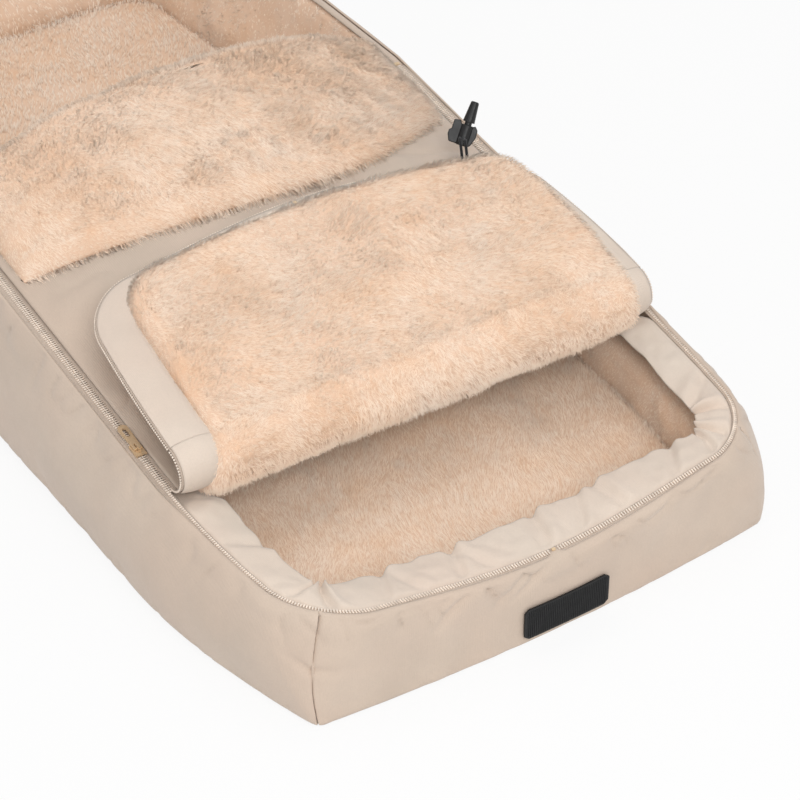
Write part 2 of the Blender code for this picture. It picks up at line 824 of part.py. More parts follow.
def build_patch(looks, home):
    cells = 2 * PATCH_RIBS

    def place(u, v, w):
        x = PATCH_HALF_WIDE * (2 * u - 1)
        over = max(abs(x) - PATCH_HALF_WIDE + PATCH_CHAMFER, 0)
        z = PATCH_Z + (2 * v - 1) * (PATCH_HALF_TALL - over)
        rib = PATCH_RIB * (round(u * cells) % 2)
        out = PATCH_SPACE + (PATCH_BACK + rib) * w
        return bend((PATCH_X + x, FOOT_Y - out, z))

    block("ribbed_patch", (cells, 1, 1), place, looks["rubber"], home)


def track_frame(side):
    """Where a slider sits: on the track, tilted along it."""
    inset = COIL_OUT + COIL_WIDE + COIL_SPACE / 2
    place = Matrix.Translation(bend((side * (HALF_WIDTH - inset), SLIDER_Y, RIM)))
    return place @ Matrix.Rotation(math.atan(TRACK_SLOPE), 4, "X")


def build_slider(side, name, looks, home, tools):
    look = looks["metal"]
    top = COIL_HIGH + SLIDER_CLEAR
    low = COIL_LOW - SLIDER_CLEAR
    half, long = SLIDER_HALF, SLIDER_LONG / 2
    plate = box(name, (-half, -long, top), (half, long, top + SLIDER_PLATE), look, home)
    under = box(name + "_under", (-half, -long, low - SLIDER_PLATE), (half, long, low), look, home)
    post_y = -long + SLIDER_POST_LONG
    reach = top + SLIDER_PLATE / 2
    post = box(
        name + "_post",
        (-SLIDER_POST / 2, -long + SLIDER_CLEAR, low - SLIDER_PLATE / 2),
        (SLIDER_POST / 2, post_y, reach),
        look,
        home,
    )
    lip = TAPE_HIGH + SLIDER_CLEAR
    inner = half - SLIDER_FLANGE
    end = long - SLIDER_CLEAR
    one = box(name + "_lip_a", (inner, -end, lip), (half - GAP / 2, end, reach), look, home)
    two = box(name + "_lip_b", (-half + GAP / 2, -end, lip), (-inner, end, reach), look, home)
    plate_top = top + SLIDER_PLATE
    bridge_top = plate_top + BRIDGE_SPACE + BRIDGE_BAR
    wide, run = BRIDGE_WIDE / 2, BRIDGE_LONG / 2
    arch = box(name + "_arch", (-wide, -run, reach), (wide, run, bridge_top), look, home)
    hole = box(
        name + "_hole",
        (-BRIDGE_WIDE, -run + BRIDGE_LEG, plate_top),
        (BRIDGE_WIDE, run - BRIDGE_LEG, plate_top + BRIDGE_SPACE),
        look,
        home,
    )
    united(plate, (under, post, one, two, arch), (hole,), home, tools)
    plate.matrix_world = track_frame(side)
    for part in (under, post, one, two, arch, hole):
        part.matrix_world = track_frame(side)
    return plate_top + PULL_AXIS_UP


def outline(curve, points):
    spline = curve.splines.new("POLY")
    spline.points.add(len(points) - 1)
    for point, (x, y) in zip(spline.points, points):
        point.co = (x, y, 0, 1)
    spline.use_cyclic_u = True


def half_round(half, middle_y, start):
    """Points of a half circle, from the start angle on."""
    angles = [start + math.pi * i / PULL_ARC_STEPS for i in range(PULL_ARC_STEPS + 1)]
    return [(half * math.cos(a), middle_y + half * math.sin(a)) for a in angles]


def build_pull(side, name, axis_up, looks, home):
    curve = bpy.data.curves.new(name, "CURVE")
    curve.dimensions = "2D"
    curve.fill_mode = "BOTH"
    curve.extrude = PULL_THICK / 2
    wide, neck = PULL_HALF_WIDE, PULL_NECK
    tip = half_round(wide, PULL_LONG - wide, 0)
    low = [(-neck, PULL_EYE_TO), (-neck, -PULL_BACK), (neck, -PULL_BACK), (neck, PULL_EYE_TO)]
    outline(curve, tip + low)
    eye = PULL_EYE_HALF
    outline(
        curve,
        [(eye, PULL_EYE_FROM), (eye, PULL_EYE_TO), (-eye, PULL_EYE_TO), (-eye, PULL_EYE_FROM)],
    )
    half = PULL_HOLE_HALF
    far_end = half_round(half, PULL_HOLE_TO - half, 0)
    outline(curve, far_end + half_round(half, PULL_HOLE_FROM + half, math.pi))
    pull = new_object(name, curve, looks["metal"], home)
    pull.matrix_world = track_frame(side) @ Matrix.Translation((0, 0, axis_up))


def foot_stop(near):
    """The clip that ends a coil at the middle of the foot."""

    def place(u, v, w):
        x = STOP_HALF * (2 * u - 1)
        y = FOOT_Y + near + COIL_WIDE * v
        return bend((x, y, RIM + COIL_LOW + (COIL_HIGH - COIL_LOW) * w))

    return place


def build_stops(looks, home):
    """The ends of the chains on the tub: a clamp at each top, and a clip at the foot."""
    low_y = ZIP_TOP_Y + GAP
    top = straight_rail(COIL_OUT, OTHER_COIL_IN, COIL_LOW, COIL_HIGH, low_y + STOP_LONG, low_y)
    for name, place in sides("zip_top_stop", top):
        block(name, (1, 1, 1), place, looks["metal"], home)
    block("zip_foot_stop_body", (1, 1, 1), foot_stop(COIL_OUT), looks["metal"], home)


def lock_frame():
    """The lock's own axes: Z up its plunger, Y away from the viewer through its cord hole."""
    up = LOCK_AXIS
    away = (LOCK_FACING - up * LOCK_FACING.dot(up)).normalized()
    side = away.cross(up)
    turned = Matrix((side, away, up)).transposed().to_4x4()
    return Matrix.Translation(LOCK_BASE) @ turned


def cylinder(name, radius, low, high, look, home):
    bm = bmesh.new()
    bmesh.ops.create_cone(
        bm,
        cap_ends=True,
        segments=ROUND_STEPS,
        radius1=radius,
        radius2=radius,
        depth=high - low,
    )
    bmesh.ops.translate(bm, verts=bm.verts, vec=(0, 0, (low + high) / 2))
    return new_object(name, mesh_from(bm, name), look, home)


def turned_piece(name, profile, look, home):
    """A profile of (radius, height) points turned round Z."""
    mesh = bpy.data.meshes.new(name)
    edges = [(i, i + 1) for i in range(len(profile) - 1)]
    mesh.from_pydata([(r, 0, z) for r, z in profile], edges, [])
    piece = new_object(name, mesh, look, home)
    screw = piece.modifiers.new("turn", "SCREW")
    screw.axis = "Z"
    screw.angle = 2 * math.pi
    screw.steps = ROUND_STEPS
    screw.render_steps = ROUND_STEPS
    screw.use_merge_vertices = True
    screw.merge_threshold = GAP / 10
    return piece


def lock_plate(u, v, w):
    """The flat wings: wide at half height, narrower at the foot and at the shoulders."""
    half = (LOCK_FOOT_HALF, LOCK_HALF_WIDE, LOCK_SHOULDER_HALF)[round(2 * v)]
    return Vector(((2 * u - 1) * half, (2 * w - 1) * LOCK_HALF_THICK, v * LOCK_TALL))


def tube(name, points, radius, look, home, rounds=2):
    curve = bpy.data.curves.new(name, "CURVE")
    curve.dimensions = "3D"
    curve.bevel_depth = radius
    curve.bevel_resolution = rounds
    curve.use_fill_caps = True
    spline = curve.splines.new("POLY")
    spline.points.add(len(points) - 1)
    for point, place in zip(spline.points, points):
        point.co = (*place, 1)
    return new_object(name, curve, look, home)


def smooth_route(stops, steps):
    """A smooth line through the stops (Catmull-Rom)."""
    ends = [2 * stops[0] - stops[1], *stops, 2 * stops[-1] - stops[-2]]
    points = []
    for a, b, c, d in zip(ends, ends[1:], ends[2:], ends[3:]):
        for i in range(steps):
            t = i / steps
            part = 2 * b + (c - a) * t + (2 * a - 5 * b + 4 * c - d) * t**2
            points.append((part + (3 * b - a - 3 * c + d) * t**3) / 2)
    return [*points, stops[-1]]


def cover_point(x, y, above):
    return bend((x, y, RIM + SHELL_LOW + SHELL + dome(x, y) + above))


def cover_normal(x, y):
    step = EYELET_OUT
    one = cover_point(x + step, y, 0) - cover_point(x - step, y, 0)
    two = cover_point(x, y + step, 0) - cover_point(x, y - step, 0)
    return one.cross(two).normalized()


def cord_route():
    frame = lock_frame()
    up = cover_normal(EYELET_X, EYELET_Y)
    exit_point = cover_point(EYELET_X, EYELET_Y, EYELET_SPACE)
    side = frame.to_3x3() @ Vector((1, 0, 0))
    level = (LOCK_HOLE_LOW + LOCK_HOLE_HIGH) / 2

    def leg(sign):
        across = side * sign * CORD_APART / 2
        return [
            exit_point + across,
            exit_point + across + up * CORD_RISE,
            frame @ Vector((sign * CORD_APART / 2, -CORD_FRONT, level)),
            frame @ Vector((sign * CORD_APART / 2, 0, level)),
            frame @ Vector((sign * CORD_APART / 2, CORD_BACK, level)),
            frame @ Vector((sign * CORD_LOOP_HALF, CORD_BACK + CORD_LOOP_LONG / 2, level)),
        ]

    end = frame @ Vector((0, CORD_BACK + CORD_LOOP_LONG, level))
    return smooth_route([*leg(1), end, *reversed(leg(-1))], CORD_STEPS)


def build_lock(looks, home, tools):
    frame = lock_frame()
    look = looks["black plastic"]
    body = block("cord_lock_body", (1, 2, 1), lock_plate, look, home)
    sleeve = cylinder("sleeve", LOCK_SLEEVE, 0, LOCK_TALL + GAP, look, home)
    bore = cylinder("bore", LOCK_BORE, LOCK_FLOOR, LOCK_TALL + CORD_BACK, look, home)
    reach = 2 * LOCK_SLEEVE
    hole = box(
        "cord_hole",
        (-LOCK_HOLE_HALF_WIDE, -reach, LOCK_HOLE_LOW),
        (LOCK_HOLE_HALF_WIDE, reach, LOCK_HOLE_HIGH),
        look,
        home,
    )
    united(body, (sleeve,), (bore, hole), home, tools)
    for part in (body, sleeve, bore, hole):
        part.matrix_world = frame
    base = PLUNGER_STROKE + GAP
    top = base + PLUNGER_LONG
    profile = [
        (0, top),
        (PLUNGER_NARROW - PLUNGER_EDGE, top),
        (PLUNGER_NARROW, top - PLUNGER_EDGE),
        (PLUNGER_WIDE, base + PLUNGER_EDGE),
        (PLUNGER_WIDE, base),
        (STEM, base),
        (STEM, base - STEM_LONG),
        (0, base - STEM_LONG),
    ]
    plunger = turned_piece("cord_lock_plunger", profile, look, home)
    plunger.matrix_world = frame @ Matrix.Translation((0, 0, LOCK_TALL + GAP))
    low = LOCK_FLOOR + GAP + SPRING_WIRE
    high = LOCK_TALL + GAP + base - STEM_LONG - GAP - SPRING_WIRE
    count = SPRING_TURNS * SPRING_POINTS
    coil = []
    for i in range(count + 1):
        plan = turn(Vector((0, 0)), SPRING_RADIUS, 2 * math.pi * i / SPRING_POINTS)
        coil.append(Vector((plan.x, plan.y, low + (high - low) * i / count)))
    spring = tube("cord_lock_spring", coil, SPRING_WIRE, looks["steel"], home, 0)
    spring.matrix_world = frame
    tube("drawcord", cord_route(), CORD / 2, looks["cord"], home)
    ring = [
        (EYELET_OUT, EYELET_THICK),
        (EYELET_OUT, 0),
        (EYELET_IN, 0),
        (EYELET_IN, EYELET_THICK),
        (EYELET_OUT, EYELET_THICK),
    ]
    eyelet = turned_piece("drawcord_eyelet", ring, look, home)
    up = cover_normal(EYELET_X, EYELET_Y)
    turned = up.to_track_quat("Z", "Y").to_matrix().to_4x4()
    place = cover_point(EYELET_X, EYELET_Y, EYELET_SPACE)
    eyelet.matrix_world = Matrix.Translation(place) @ turned


def looks_of():
    return {
        "fabric": material("beige shell fabric", (207, 194, 176), 0.75),
        "light fabric": material("light beige facing", (225, 212, 196), 0.75),
        "fur": material("peach fur", (236, 208, 183), 0.95),
        "wadding": material("white wadding", (236, 234, 228), 0.95),
        "tape": material("zip tape", (186, 166, 150), 0.8),
        "coil": material("zip coil", (196, 178, 160), 0.45),
        "metal": material("rose gold metal", (215, 180, 145), 0.3, 1.0),
        "rubber": material("black rubber", (28, 28, 30), 0.55),
        "black plastic": material("black plastic", (24, 25, 27), 0.35),
        "cord": material("black cord", (30, 30, 32), 0.8),
        "steel": material("spring steel", (170, 170, 175), 0.35, 1.0),
    }


def main():
    for thing in list(bpy.data.objects):
        bpy.data.objects.remove(thing, do_unlink=True)
    home = bpy.data.collections.new("stroller footmuff")
    tools = bpy.data.collections.new("cutters")
    bpy.context.scene.collection.children.link(home)
    bpy.context.scene.collection.children.link(tools)
    looks = looks_of()
    build_tub(looks, home)
    build_facing(looks, home)
    build_body_zip(looks, home)
    build_cover_zip(looks, home)
    build_cover(looks, home)
    build_flap(looks, home)
    build_foot_fold(looks, home)
    build_turn_down(looks, home)
    build_patch(looks, home)
    for side, end in ((-1, "left"), (1, "right")):
        axis_up = build_slider(side, "slider_" + end, looks, home, tools)
        build_pull(side, "pull_" + end, axis_up, looks, home)
    build_stops(looks, home)
    build_lock(looks, home, tools)


main()
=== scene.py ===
"""A beige stroller footmuff lined with faux fur, its foot flap unzipped and folded back.

Cloth and fur are drawn in a plain box-shaped tub, and the same bend that shapes the solids
takes them to their place: narrow at the foot, bowed in front, with sides that bulge and lean
in, and a rim that sags. Creases, gathers, zip teeth and the pile of the fur are then added.
"""
import itertools
import math

import bpy
import numpy as np
from mathutils import Matrix, Vector


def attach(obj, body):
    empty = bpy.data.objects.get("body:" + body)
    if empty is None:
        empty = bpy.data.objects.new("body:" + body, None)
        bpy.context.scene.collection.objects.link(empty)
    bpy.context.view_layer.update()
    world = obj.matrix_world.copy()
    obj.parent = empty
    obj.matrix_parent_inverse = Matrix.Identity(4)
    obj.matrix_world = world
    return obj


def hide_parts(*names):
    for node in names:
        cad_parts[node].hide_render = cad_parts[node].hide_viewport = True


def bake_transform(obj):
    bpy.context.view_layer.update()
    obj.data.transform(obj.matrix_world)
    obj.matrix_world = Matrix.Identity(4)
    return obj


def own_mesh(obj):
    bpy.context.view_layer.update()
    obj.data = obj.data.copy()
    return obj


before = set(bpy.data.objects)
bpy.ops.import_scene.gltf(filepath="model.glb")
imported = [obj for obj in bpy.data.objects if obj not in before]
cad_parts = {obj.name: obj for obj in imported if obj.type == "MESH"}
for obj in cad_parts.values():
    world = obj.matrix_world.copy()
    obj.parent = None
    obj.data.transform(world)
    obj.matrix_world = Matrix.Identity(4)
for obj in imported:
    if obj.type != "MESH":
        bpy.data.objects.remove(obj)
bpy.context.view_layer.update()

MM = 0.001
BODY, FLAP, TURN = "footmuff_body", "foot_flap", "turn_down"
UP = (0, 0, 1)
DOWN = (0, 0, -1)
HALF_TURN = math.pi
SIDES = ((-1, "left"), (1, "right"))
WALLS = ("foot", "right", "head", "left")

# The tub, as the solids have it.
HALF_WIDTH = 234 * MM
FOOT_Y = -480 * MM
HEAD_Y = 492.8 * MM
RIM = 100 * MM
CLOTH_CORNER = 7 * MM
RIM_CORNER = 63 * MM
HEAD_CORNER = 80 * MM
SMALLEST_CORNER = 2 * MM
CORNER_POWER = 1.5
WALL_ARC_SHARE = 0.125
STRAIGHT_Y = -280 * MM
FOOT_TAPER_SHARE = 0.154
FOOT_BOW = 10 * MM
SIDE_BULGE_SHARE = 0.03
BULGE_POWER = 6
RIM_LEAN_SHARE = 0.064
TRACK_LOW_Y = -270 * MM
TRACK_HIGH_Y = 45 * MM
TRACK_LOW_Z = 97 * MM
TRACK_SLOPE = 0.13
FOOT_CORNER_Z = 85 * MM
FOOT_SAG = 19 * MM
HEAD_DROP_Y = 150 * MM
HEAD_RIM_Z = 70 * MM

# The outer cloth: its thickness, and how far it rolls in over the zip tape.
FABRIC = 1.6 * MM
THIN_CLOTH = 1.2 * MM
FACING_CLOTH = 0.7 * MM
HEM_CLOTH = 0.8 * MM
SIDE_ROLL = 7.8 * MM
FOOT_ROLL = 6.2 * MM
END_ROLL = 11.4 * MM
END_ROLL_SHARE = 0.011
CLOSED_ROLL = 4.4 * MM
SLIDER_SHARE = 0.19
SLIDER_FADE_SHARE = 0.05

# The zip: insets from the outer face, and heights above the rim.
TAPE_OUT = 3.9 * MM
TAPE_LOW = 0.2 * MM
TAPE_HIGH = 0.7 * MM
TAPE = 0.4 * MM
TAPE_CUT = 13 * MM
COIL_OUT = 8.1 * MM
COIL_IN = 10.4 * MM
FOOT_COIL_OUT = 7.6 * MM
FOOT_COIL_IN = 11 * MM
CLOSED_HEADS = 10.7 * MM
OTHER_COIL_OUT = 12.4 * MM
OTHER_COIL_IN = 14.7 * MM
OTHER_TAPE_OUT = 13.7 * MM
OTHER_TAPE_IN = 22 * MM
COIL_UP = 1.3 * MM
TOOTH_PITCH = 2.2 * MM
TOOTH_WIDE = 1.8 * MM
TOOTH_HIGH = 1.9 * MM
ZIP_TOP_Y = 34 * MM
ZIP_SIDE_SHARE = 0.4
ZIP_CORNER_SHARE = 0.35
ZIP_END_HALF = 2 * MM

# The gathered facing round the opening.
FACING_END_Y = -150 * MM
FACING_SIDE_SHARE = 0.5
FACING_CORNER_SHARE = 0.18
FACING_LINE = 30 * MM
FACING_NEAR = 10.8 * MM
FOOT_FACING_NEAR = 11.6 * MM
FACING_FAR = 45 * MM
FACING_SEWN_SHARE = 0.84
FACING_TUCK = 6 * MM
FACING_DIVE = 8 * MM
PINCH = 5 * MM

# The cover, the flap and the fold between them.
SHELL_TOP = 2.8 * MM
SHELL_EDGE = 17 * MM
LINING_EDGE = 38 * MM
LINING_DEEP = 19 * MM
LINING_THICK = 5 * MM
DOME = 44 * MM
DOME_RUN = 170 * MM
DOME_POWER = 2.4
FLAP_CROWN = 8 * MM
FOLD_Y = -304 * MM
FOLD_Z = 112 * MM
FOLD_GAP = 0.3 * MM
ASKEW_SHARE = 0.018
ASKEW_FROM = 190 * MM
FLAP_OPEN = math.radians(174)
FLAP_ZIP_SHARE = 0.35
FLAP_FACING_NEAR = 15.2 * MM
FLAP_FACING_FAR = 56 * MM
FACING_PUFF = 2.4 * MM
PUFF_POWER = 0.7
FLAP_FUR_SIDE = 50 * MM
FLAP_FUR_RIGHT = 31 * MM
FLAP_FUR_SPREAD = 4 * MM
FLAP_FUR_FRONT = 21 * MM
FLAP_FUR_CORNER = 30 * MM
FOLD_FUR_DEEP = 11.5 * MM
MIDDLE_FUR_DEEP = 20 * MM
THIN_FUR = 2 * MM
FOLD_FUR_ROUND = 18 * MM
FOLD_FUR_LEFT = -201 * MM
FOLD_FUR_LEFT_TOP = -185 * MM
FOLD_FUR_RIGHT = 204 * MM
UNDER_SHARE = 0.06

# The turned-down upper end.
TURN_Y = 40 * MM
TURN_EDGE_Y = -116 * MM
TURN_EDGE_X = 30 * MM
TURN_LEFT = -212 * MM
TURN_RIGHT = 204 * MM
TURN_LEFT_SKEW = 50 * MM
TURN_RIGHT_SKEW = 62 * MM
TURN_LIFT = 1 * MM
TURN_FUR_DEEP = 13 * MM
TURN_FUR_SPACE = 3 * MM
TURN_STOPS = (TURN_LEFT, -120 * MM, 0, 110 * MM, TURN_RIGHT)
PAD_ROUND = 16 * MM
ROLL_CORE = 3.5 * MM

# The fur's pile: how long one blade is, how wide at its root, and how many grow on a square metre.
PILE = 7 * MM
BLADE = 0.55 * MM
WIDE_BLADE = 1.7 * MM
HAIR_CLEAR_SHARE = 0.95
END_TRIM_SHARE = 0.65
UPWARD_SHARE = 0.42
HIDDEN_DENSE = 90000
BOLSTER_DENSE = 480000
MAT_DENSE = 560000
ROLL_DENSE = 700000
TURN_DENSE = 780000
FLAP_DENSE = 820000
THIN_SHARE = 0.2
SHOWN_Y = -250 * MM
SHOWN_FADE = 40 * MM
MAT_INSET = 47 * MM
MAT_TOP = 34 * MM
MAT_CROWN = 5 * MM
MAT_DIP = 12 * MM

# The ribbed patch on the foot wall.
PATCH_X = 6 * MM
PATCH_Z = 31.5 * MM
PATCH_HALF_WIDE = 44 * MM
PATCH_HALF_TALL = 20.5 * MM
PATCH_CHAMFER = 4.5 * MM
PATCH_OUT = 2.4 * MM
PATCH_THICK = 1.6 * MM
PATCH_BORDER = 1.6 * MM
PATCH_BORDER_OUT = 0.3 * MM
PATCH_RIB = 0.9 * MM
PATCH_RIBS = 45


# Small tools.


def smooth(x):
    x = np.clip(x, 0, 1)
    return x * x * (3 - 2 * x)


def bell(x, wide):
    """1 at 0, falling to nothing over the given width."""
    return np.exp(-((x / wide) ** 2))


def swell(share, power):
    """0 at both ends of the share and 1 in its middle."""
    return np.clip(np.sin(HALF_TURN * np.clip(share, 0, 1)), 0, 1) ** power


def rounded(distance, radius):
    """How full a padded edge is at a distance from its end, as a quarter round: 0 to 1."""
    return np.sqrt(np.clip(1 - (1 - np.clip(distance / radius, 0, 1)) ** 2, 0, 1))


def spread(u):
    """Puts more of a sheet's cells near its two ends."""
    return 0.5 - 0.5 * np.cos(HALF_TURN * u)


def unit(arrows):
    return arrows / np.linalg.norm(arrows, axis=1)[:, None]


PATTERN_CELLS = 32
PATTERN_SHIFT = 11.3


def pattern(seed):
    return np.random.default_rng(seed).uniform(-1, 1, [PATTERN_CELLS] * 3)


PATTERNS = [pattern(seed) for seed in range(6)]


def drift(points, size, seed):
    """Smooth noise from -1 to 1 over points, with features of about the given size in mm."""
    grid = PATTERNS[seed % len(PATTERNS)]
    at = np.asarray(points) / (np.asarray(size) * MM) + PATTERN_SHIFT * (seed + 1)
    low = np.floor(at).astype(int)
    part = smooth(at - low)
    total = 0
    for corner in itertools.product((0, 1), repeat=3):
        i, j, k = np.moveaxis((low + corner) % PATTERN_CELLS, -1, 0)
        total = total + grid[i, j, k] * np.abs(1 - np.array(corner) - part).prod(-1)
    return total


def waves(points, *layers):
    """Noise in layers, each with its height and its size in mm and its seed."""
    return sum(high * MM * drift(points, size, seed) for high, size, seed in layers)


def folds(points, size, seed, power=3):
    """Narrow crests only: 1 along a crease, 0 over most of the cloth."""
    return np.clip(1 - np.abs(drift(points, size, seed)) * 2, 0, 1) ** power


def stack(x, y, z):
    return np.stack(np.broadcast_arrays(x, y, z), -1).astype(float)


# The bend, from a plain box to the footmuff.


def foot_share(y):
    return np.clip((STRAIGHT_Y - y) / (STRAIGHT_Y - FOOT_Y), 0, 1)


def side_rim(y):
    whole = TRACK_LOW_Y - FOOT_Y
    lift = (FOOT_CORNER_Z - TRACK_LOW_Z + TRACK_SLOPE * whole) / whole**2
    back = np.clip(TRACK_LOW_Y - y, 0, None)
    line = TRACK_LOW_Z + TRACK_SLOPE * (np.minimum(y, TRACK_HIGH_Y) - TRACK_LOW_Y)
    line = line + lift * back**2
    fall = smooth((y - HEAD_DROP_Y) / (HEAD_Y - HEAD_DROP_Y))
    return line + (HEAD_RIM_Z - line) * fall


def rim_height(x, y):
    middle = np.cos(HALF_TURN / 2 * np.clip(np.abs(x) / HALF_WIDTH, 0, 1)) ** 2
    return side_rim(y) - FOOT_SAG * middle * foot_share(y) ** 2


def bend(points):
    x, y, z = np.moveaxis(np.asarray(points, float), -1, 0)
    rim = rim_height(x, y)
    share = foot_share(y)
    outer = np.clip(np.abs(x) / HALF_WIDTH, 0, 1)
    level = np.clip(z / RIM, 0, 1)
    bulge = SIDE_BULGE_SHARE * np.sin(HALF_TURN * level) * outer**BULGE_POWER
    lean = RIM_LEAN_SHARE * level**2 * (1 - share**2)
    wide = (1 - FOOT_TAPER_SHARE * share**2) * (1 + bulge - lean)
    bow = FOOT_BOW * (1 - outer**2) * share**2
    high = np.where(z < RIM, z * rim / RIM, z - RIM + rim)
    return stack(x * wide, y - bow, high)


def plan_corner(number, inset, foot_radius):
    full = foot_radius if number < 2 else HEAD_CORNER
    radius = np.maximum(full - inset, SMALLEST_CORNER)
    x = HALF_WIDTH - inset - radius
    y = FOOT_Y + inset + radius if number < 2 else HEAD_Y - inset - radius
    return (x if number in (1, 2) else -x), y, radius


def turn(x, y, radius, angle):
    return x + radius * np.cos(angle), y + radius * np.sin(angle)


def corner_at(level):
    return CLOTH_CORNER + (RIM_CORNER - CLOTH_CORNER) * np.clip(level, 0, 1) ** CORNER_POWER


def wall_plan(number, u, inset, foot_radius):
    """Along one of the WALLS, from the middle of one corner to the middle of the next."""
    middle = math.radians(270 + 90 * number)
    arc = WALL_ARC_SHARE
    start = middle - HALF_TURN / 4 * (1 - np.clip(u / arc, 0, 1))
    end = middle + HALF_TURN / 4 * np.clip((u - 1 + arc) / arc, 0, 1)
    one = turn(*plan_corner(number, inset, foot_radius), start)
    two = turn(*plan_corner((number + 1) % 4, inset, foot_radius), end)
    share = np.clip((u - arc) / (1 - 2 * arc), 0, 1)
    return [a + (b - a) * share for a, b in zip(one, two)]


def ring_plan(u, inset, foot_radius):
    """Once round the tub, along its four walls."""
    number = np.floor(u * 4 + 1e-9)
    share = u * 4 - number
    x, y = np.zeros_like(u), np.zeros_like(u)
    for wall in range(4):
        wx, wy = wall_plan(wall, share, inset, foot_radius)
        here = number % 4 == wall
        x = np.where(here, wx, x)
        y = np.where(here, wy, y)
    return x, y


def zip_plan(u, inset, top_y=ZIP_TOP_Y, side_share=ZIP_SIDE_SHARE, corner_share=ZIP_CORNER_SHARE):
    """Down the left side of the rim, round the foot corner, to the middle of the foot."""
    x, y, radius = plan_corner(0, inset, RIM_CORNER)
    corner_end = side_share + corner_share
    down = np.clip(u / side_share, 0, 1)
    round_it = np.clip((u - side_share) / corner_share, 0, 1)
    across = np.clip((u - corner_end) / (1 - corner_end), 0, 1)
    px, py = turn(x, y, radius, HALF_TURN * (1 + round_it / 2))
    py = np.where(u <= side_share, top_y + (y - top_y) * down, py)
    px = np.where(u > corner_end, x + (-ZIP_END_HALF - x) * across, px)
    return px, py


def dome(x, y):
    across = 1 - np.clip(np.abs(x) / (HALF_WIDTH - SHELL_EDGE), 0, 1) ** DOME_POWER
    return DOME * smooth((y - FOLD_Y) / DOME_RUN) * across


def skewed(place):
    """The same place on the opened flap, which lies a little askew: further up on its left."""

    def moved(u, v):
        points = place(u, v)
        return points + stack(0, ASKEW_SHARE * (ASKEW_FROM - points[..., 0]), 0)

    return moved


def opened(points):
    """Turns the closed flap back about its fold."""
    points = np.asarray(points, float)
    x, y, z = points[..., 0], points[..., 1] - FOLD_Y, points[..., 2] - FOLD_Z
    c, s = math.cos(FLAP_OPEN), math.sin(FLAP_OPEN)
    return stack(x, FOLD_Y + y * c + z * s, FOLD_Z - y * s + z * c)


def side_of(place, side):
    """The same place on the left, -1, or mirrored to the right, 1."""
    if side < 0:
        return place

    def other(u, v):
        return place(u, v) * np.array([-1, 1, 1])

    return other


# Which way each kind of sheet faces.


def outwards(points):
    return points * np.array([1 / HALF_WIDTH, 1 / HEAD_Y, 0])


def inwards(points):
    return -outwards(points)


def off_fold(points):
    return points - np.array([0, FOLD_Y, FOLD_Z])


def off_turn(points):
    return points - np.array([0, TURN_Y - PAD_ROUND, 0]) - points * np.array([1, 0, 1])


# Meshes.

WELD = 0.05 * MM
CUT_STEPS = 120


def choose(*things):
    """Selects only the given things, and makes the first of them active."""
    for thing in bpy.context.selected_objects:
        thing.select_set(False)
    for thing in things:
        thing.select_set(True)
    if things:
        bpy.context.view_layer.objects.active = things[0]


def edit(thing, operator, **values):
    """Runs one operator on all of a thing's mesh."""
    choose(thing)
    bpy.ops.object.mode_set(mode="EDIT")
    bpy.ops.mesh.select_all(action="SELECT")
    operator(**values)
    bpy.ops.object.mode_set(mode="OBJECT")


def read(items, field, width=3, kind=np.float32):
    flat = np.empty(len(items) * width, kind)
    items.foreach_get(field, flat)
    return flat.reshape(-1, width) if width > 1 else flat


def write(items, field, values, kind=np.float32):
    items.foreach_set(field, np.asarray(values, kind).ravel())


def get_places(mesh):
    return read(mesh.vertices, "co").astype(float)


def set_places(mesh, points):
    write(mesh.vertices, "co", points)
    mesh.update()


def link(name, data):
    thing = bpy.data.objects.new(name, data)
    bpy.context.scene.collection.objects.link(thing)
    return thing


def apply_all(thing):
    choose(thing)
    for change in list(thing.modifiers):
        bpy.ops.object.modifier_apply(modifier=change.name)


def thicken(thing, thick, offset=-1):
    wall = thing.modifiers.new("thickness", "SOLIDIFY")
    wall.thickness = thick
    wall.offset = offset


def turn_to(mesh, aim):
    """Turns a sheet over if its faces look away from where its outside is."""
    centres = read(mesh.polygons, "center")
    wanted = aim(centres) if callable(aim) else np.array(aim)
    agreed = (read(mesh.polygons, "normal") * wanted).sum(1) * read(mesh.polygons, "area", 1)
    if agreed.sum() < 0:
        mesh.flip_normals()


def cloth(name, place, cells, thick=0.0, aim=UP, offset=-1.0, closed=False):
    """A sheet of cells whose points place(u, v) gives, with its thickness behind its face."""
    choose()
    bpy.ops.mesh.primitive_grid_add(x_subdivisions=cells[0], y_subdivisions=cells[1], size=1)
    thing = bpy.context.active_object
    thing.name = name
    thing.data.name = name
    flat = get_places(thing.data)
    set_places(thing.data, place(flat[:, 0] + 0.5, flat[:, 1] + 0.5))
    if closed:
        edit(thing, bpy.ops.mesh.remove_doubles, threshold=WELD)
    turn_to(thing.data, aim)
    if thick:
        thicken(thing, thick, offset)
        apply_all(thing)
    thing.data.shade_smooth()
    return thing


def cut_size(place):
    """Width, length and area of the flat cloth that a place function lays out."""
    steps = np.linspace(0, 1, CUT_STEPS)
    points = place(*np.meshgrid(steps, steps, indexing="ij"))
    along = np.diff(points, axis=0)
    across = np.diff(points, axis=1)
    wide = np.linalg.norm(along, axis=2).sum(0).max()
    long = np.linalg.norm(across, axis=2).sum(1).max()
    area = np.linalg.norm(np.cross(along[:, :-1], across[:-1]), axis=2).sum()
    wide, long = max(wide, TAPE_CUT), max(long, TAPE_CUT)
    return (wide, long), min(area, wide * long)


def sheet(thing, place):
    flat, area = cut_size(place)
    return thing


def mark(mesh, name, values):
    held = mesh.attributes.get(name) or mesh.attributes.new(name, "FLOAT", "POINT")
    write(held.data, "value", values)


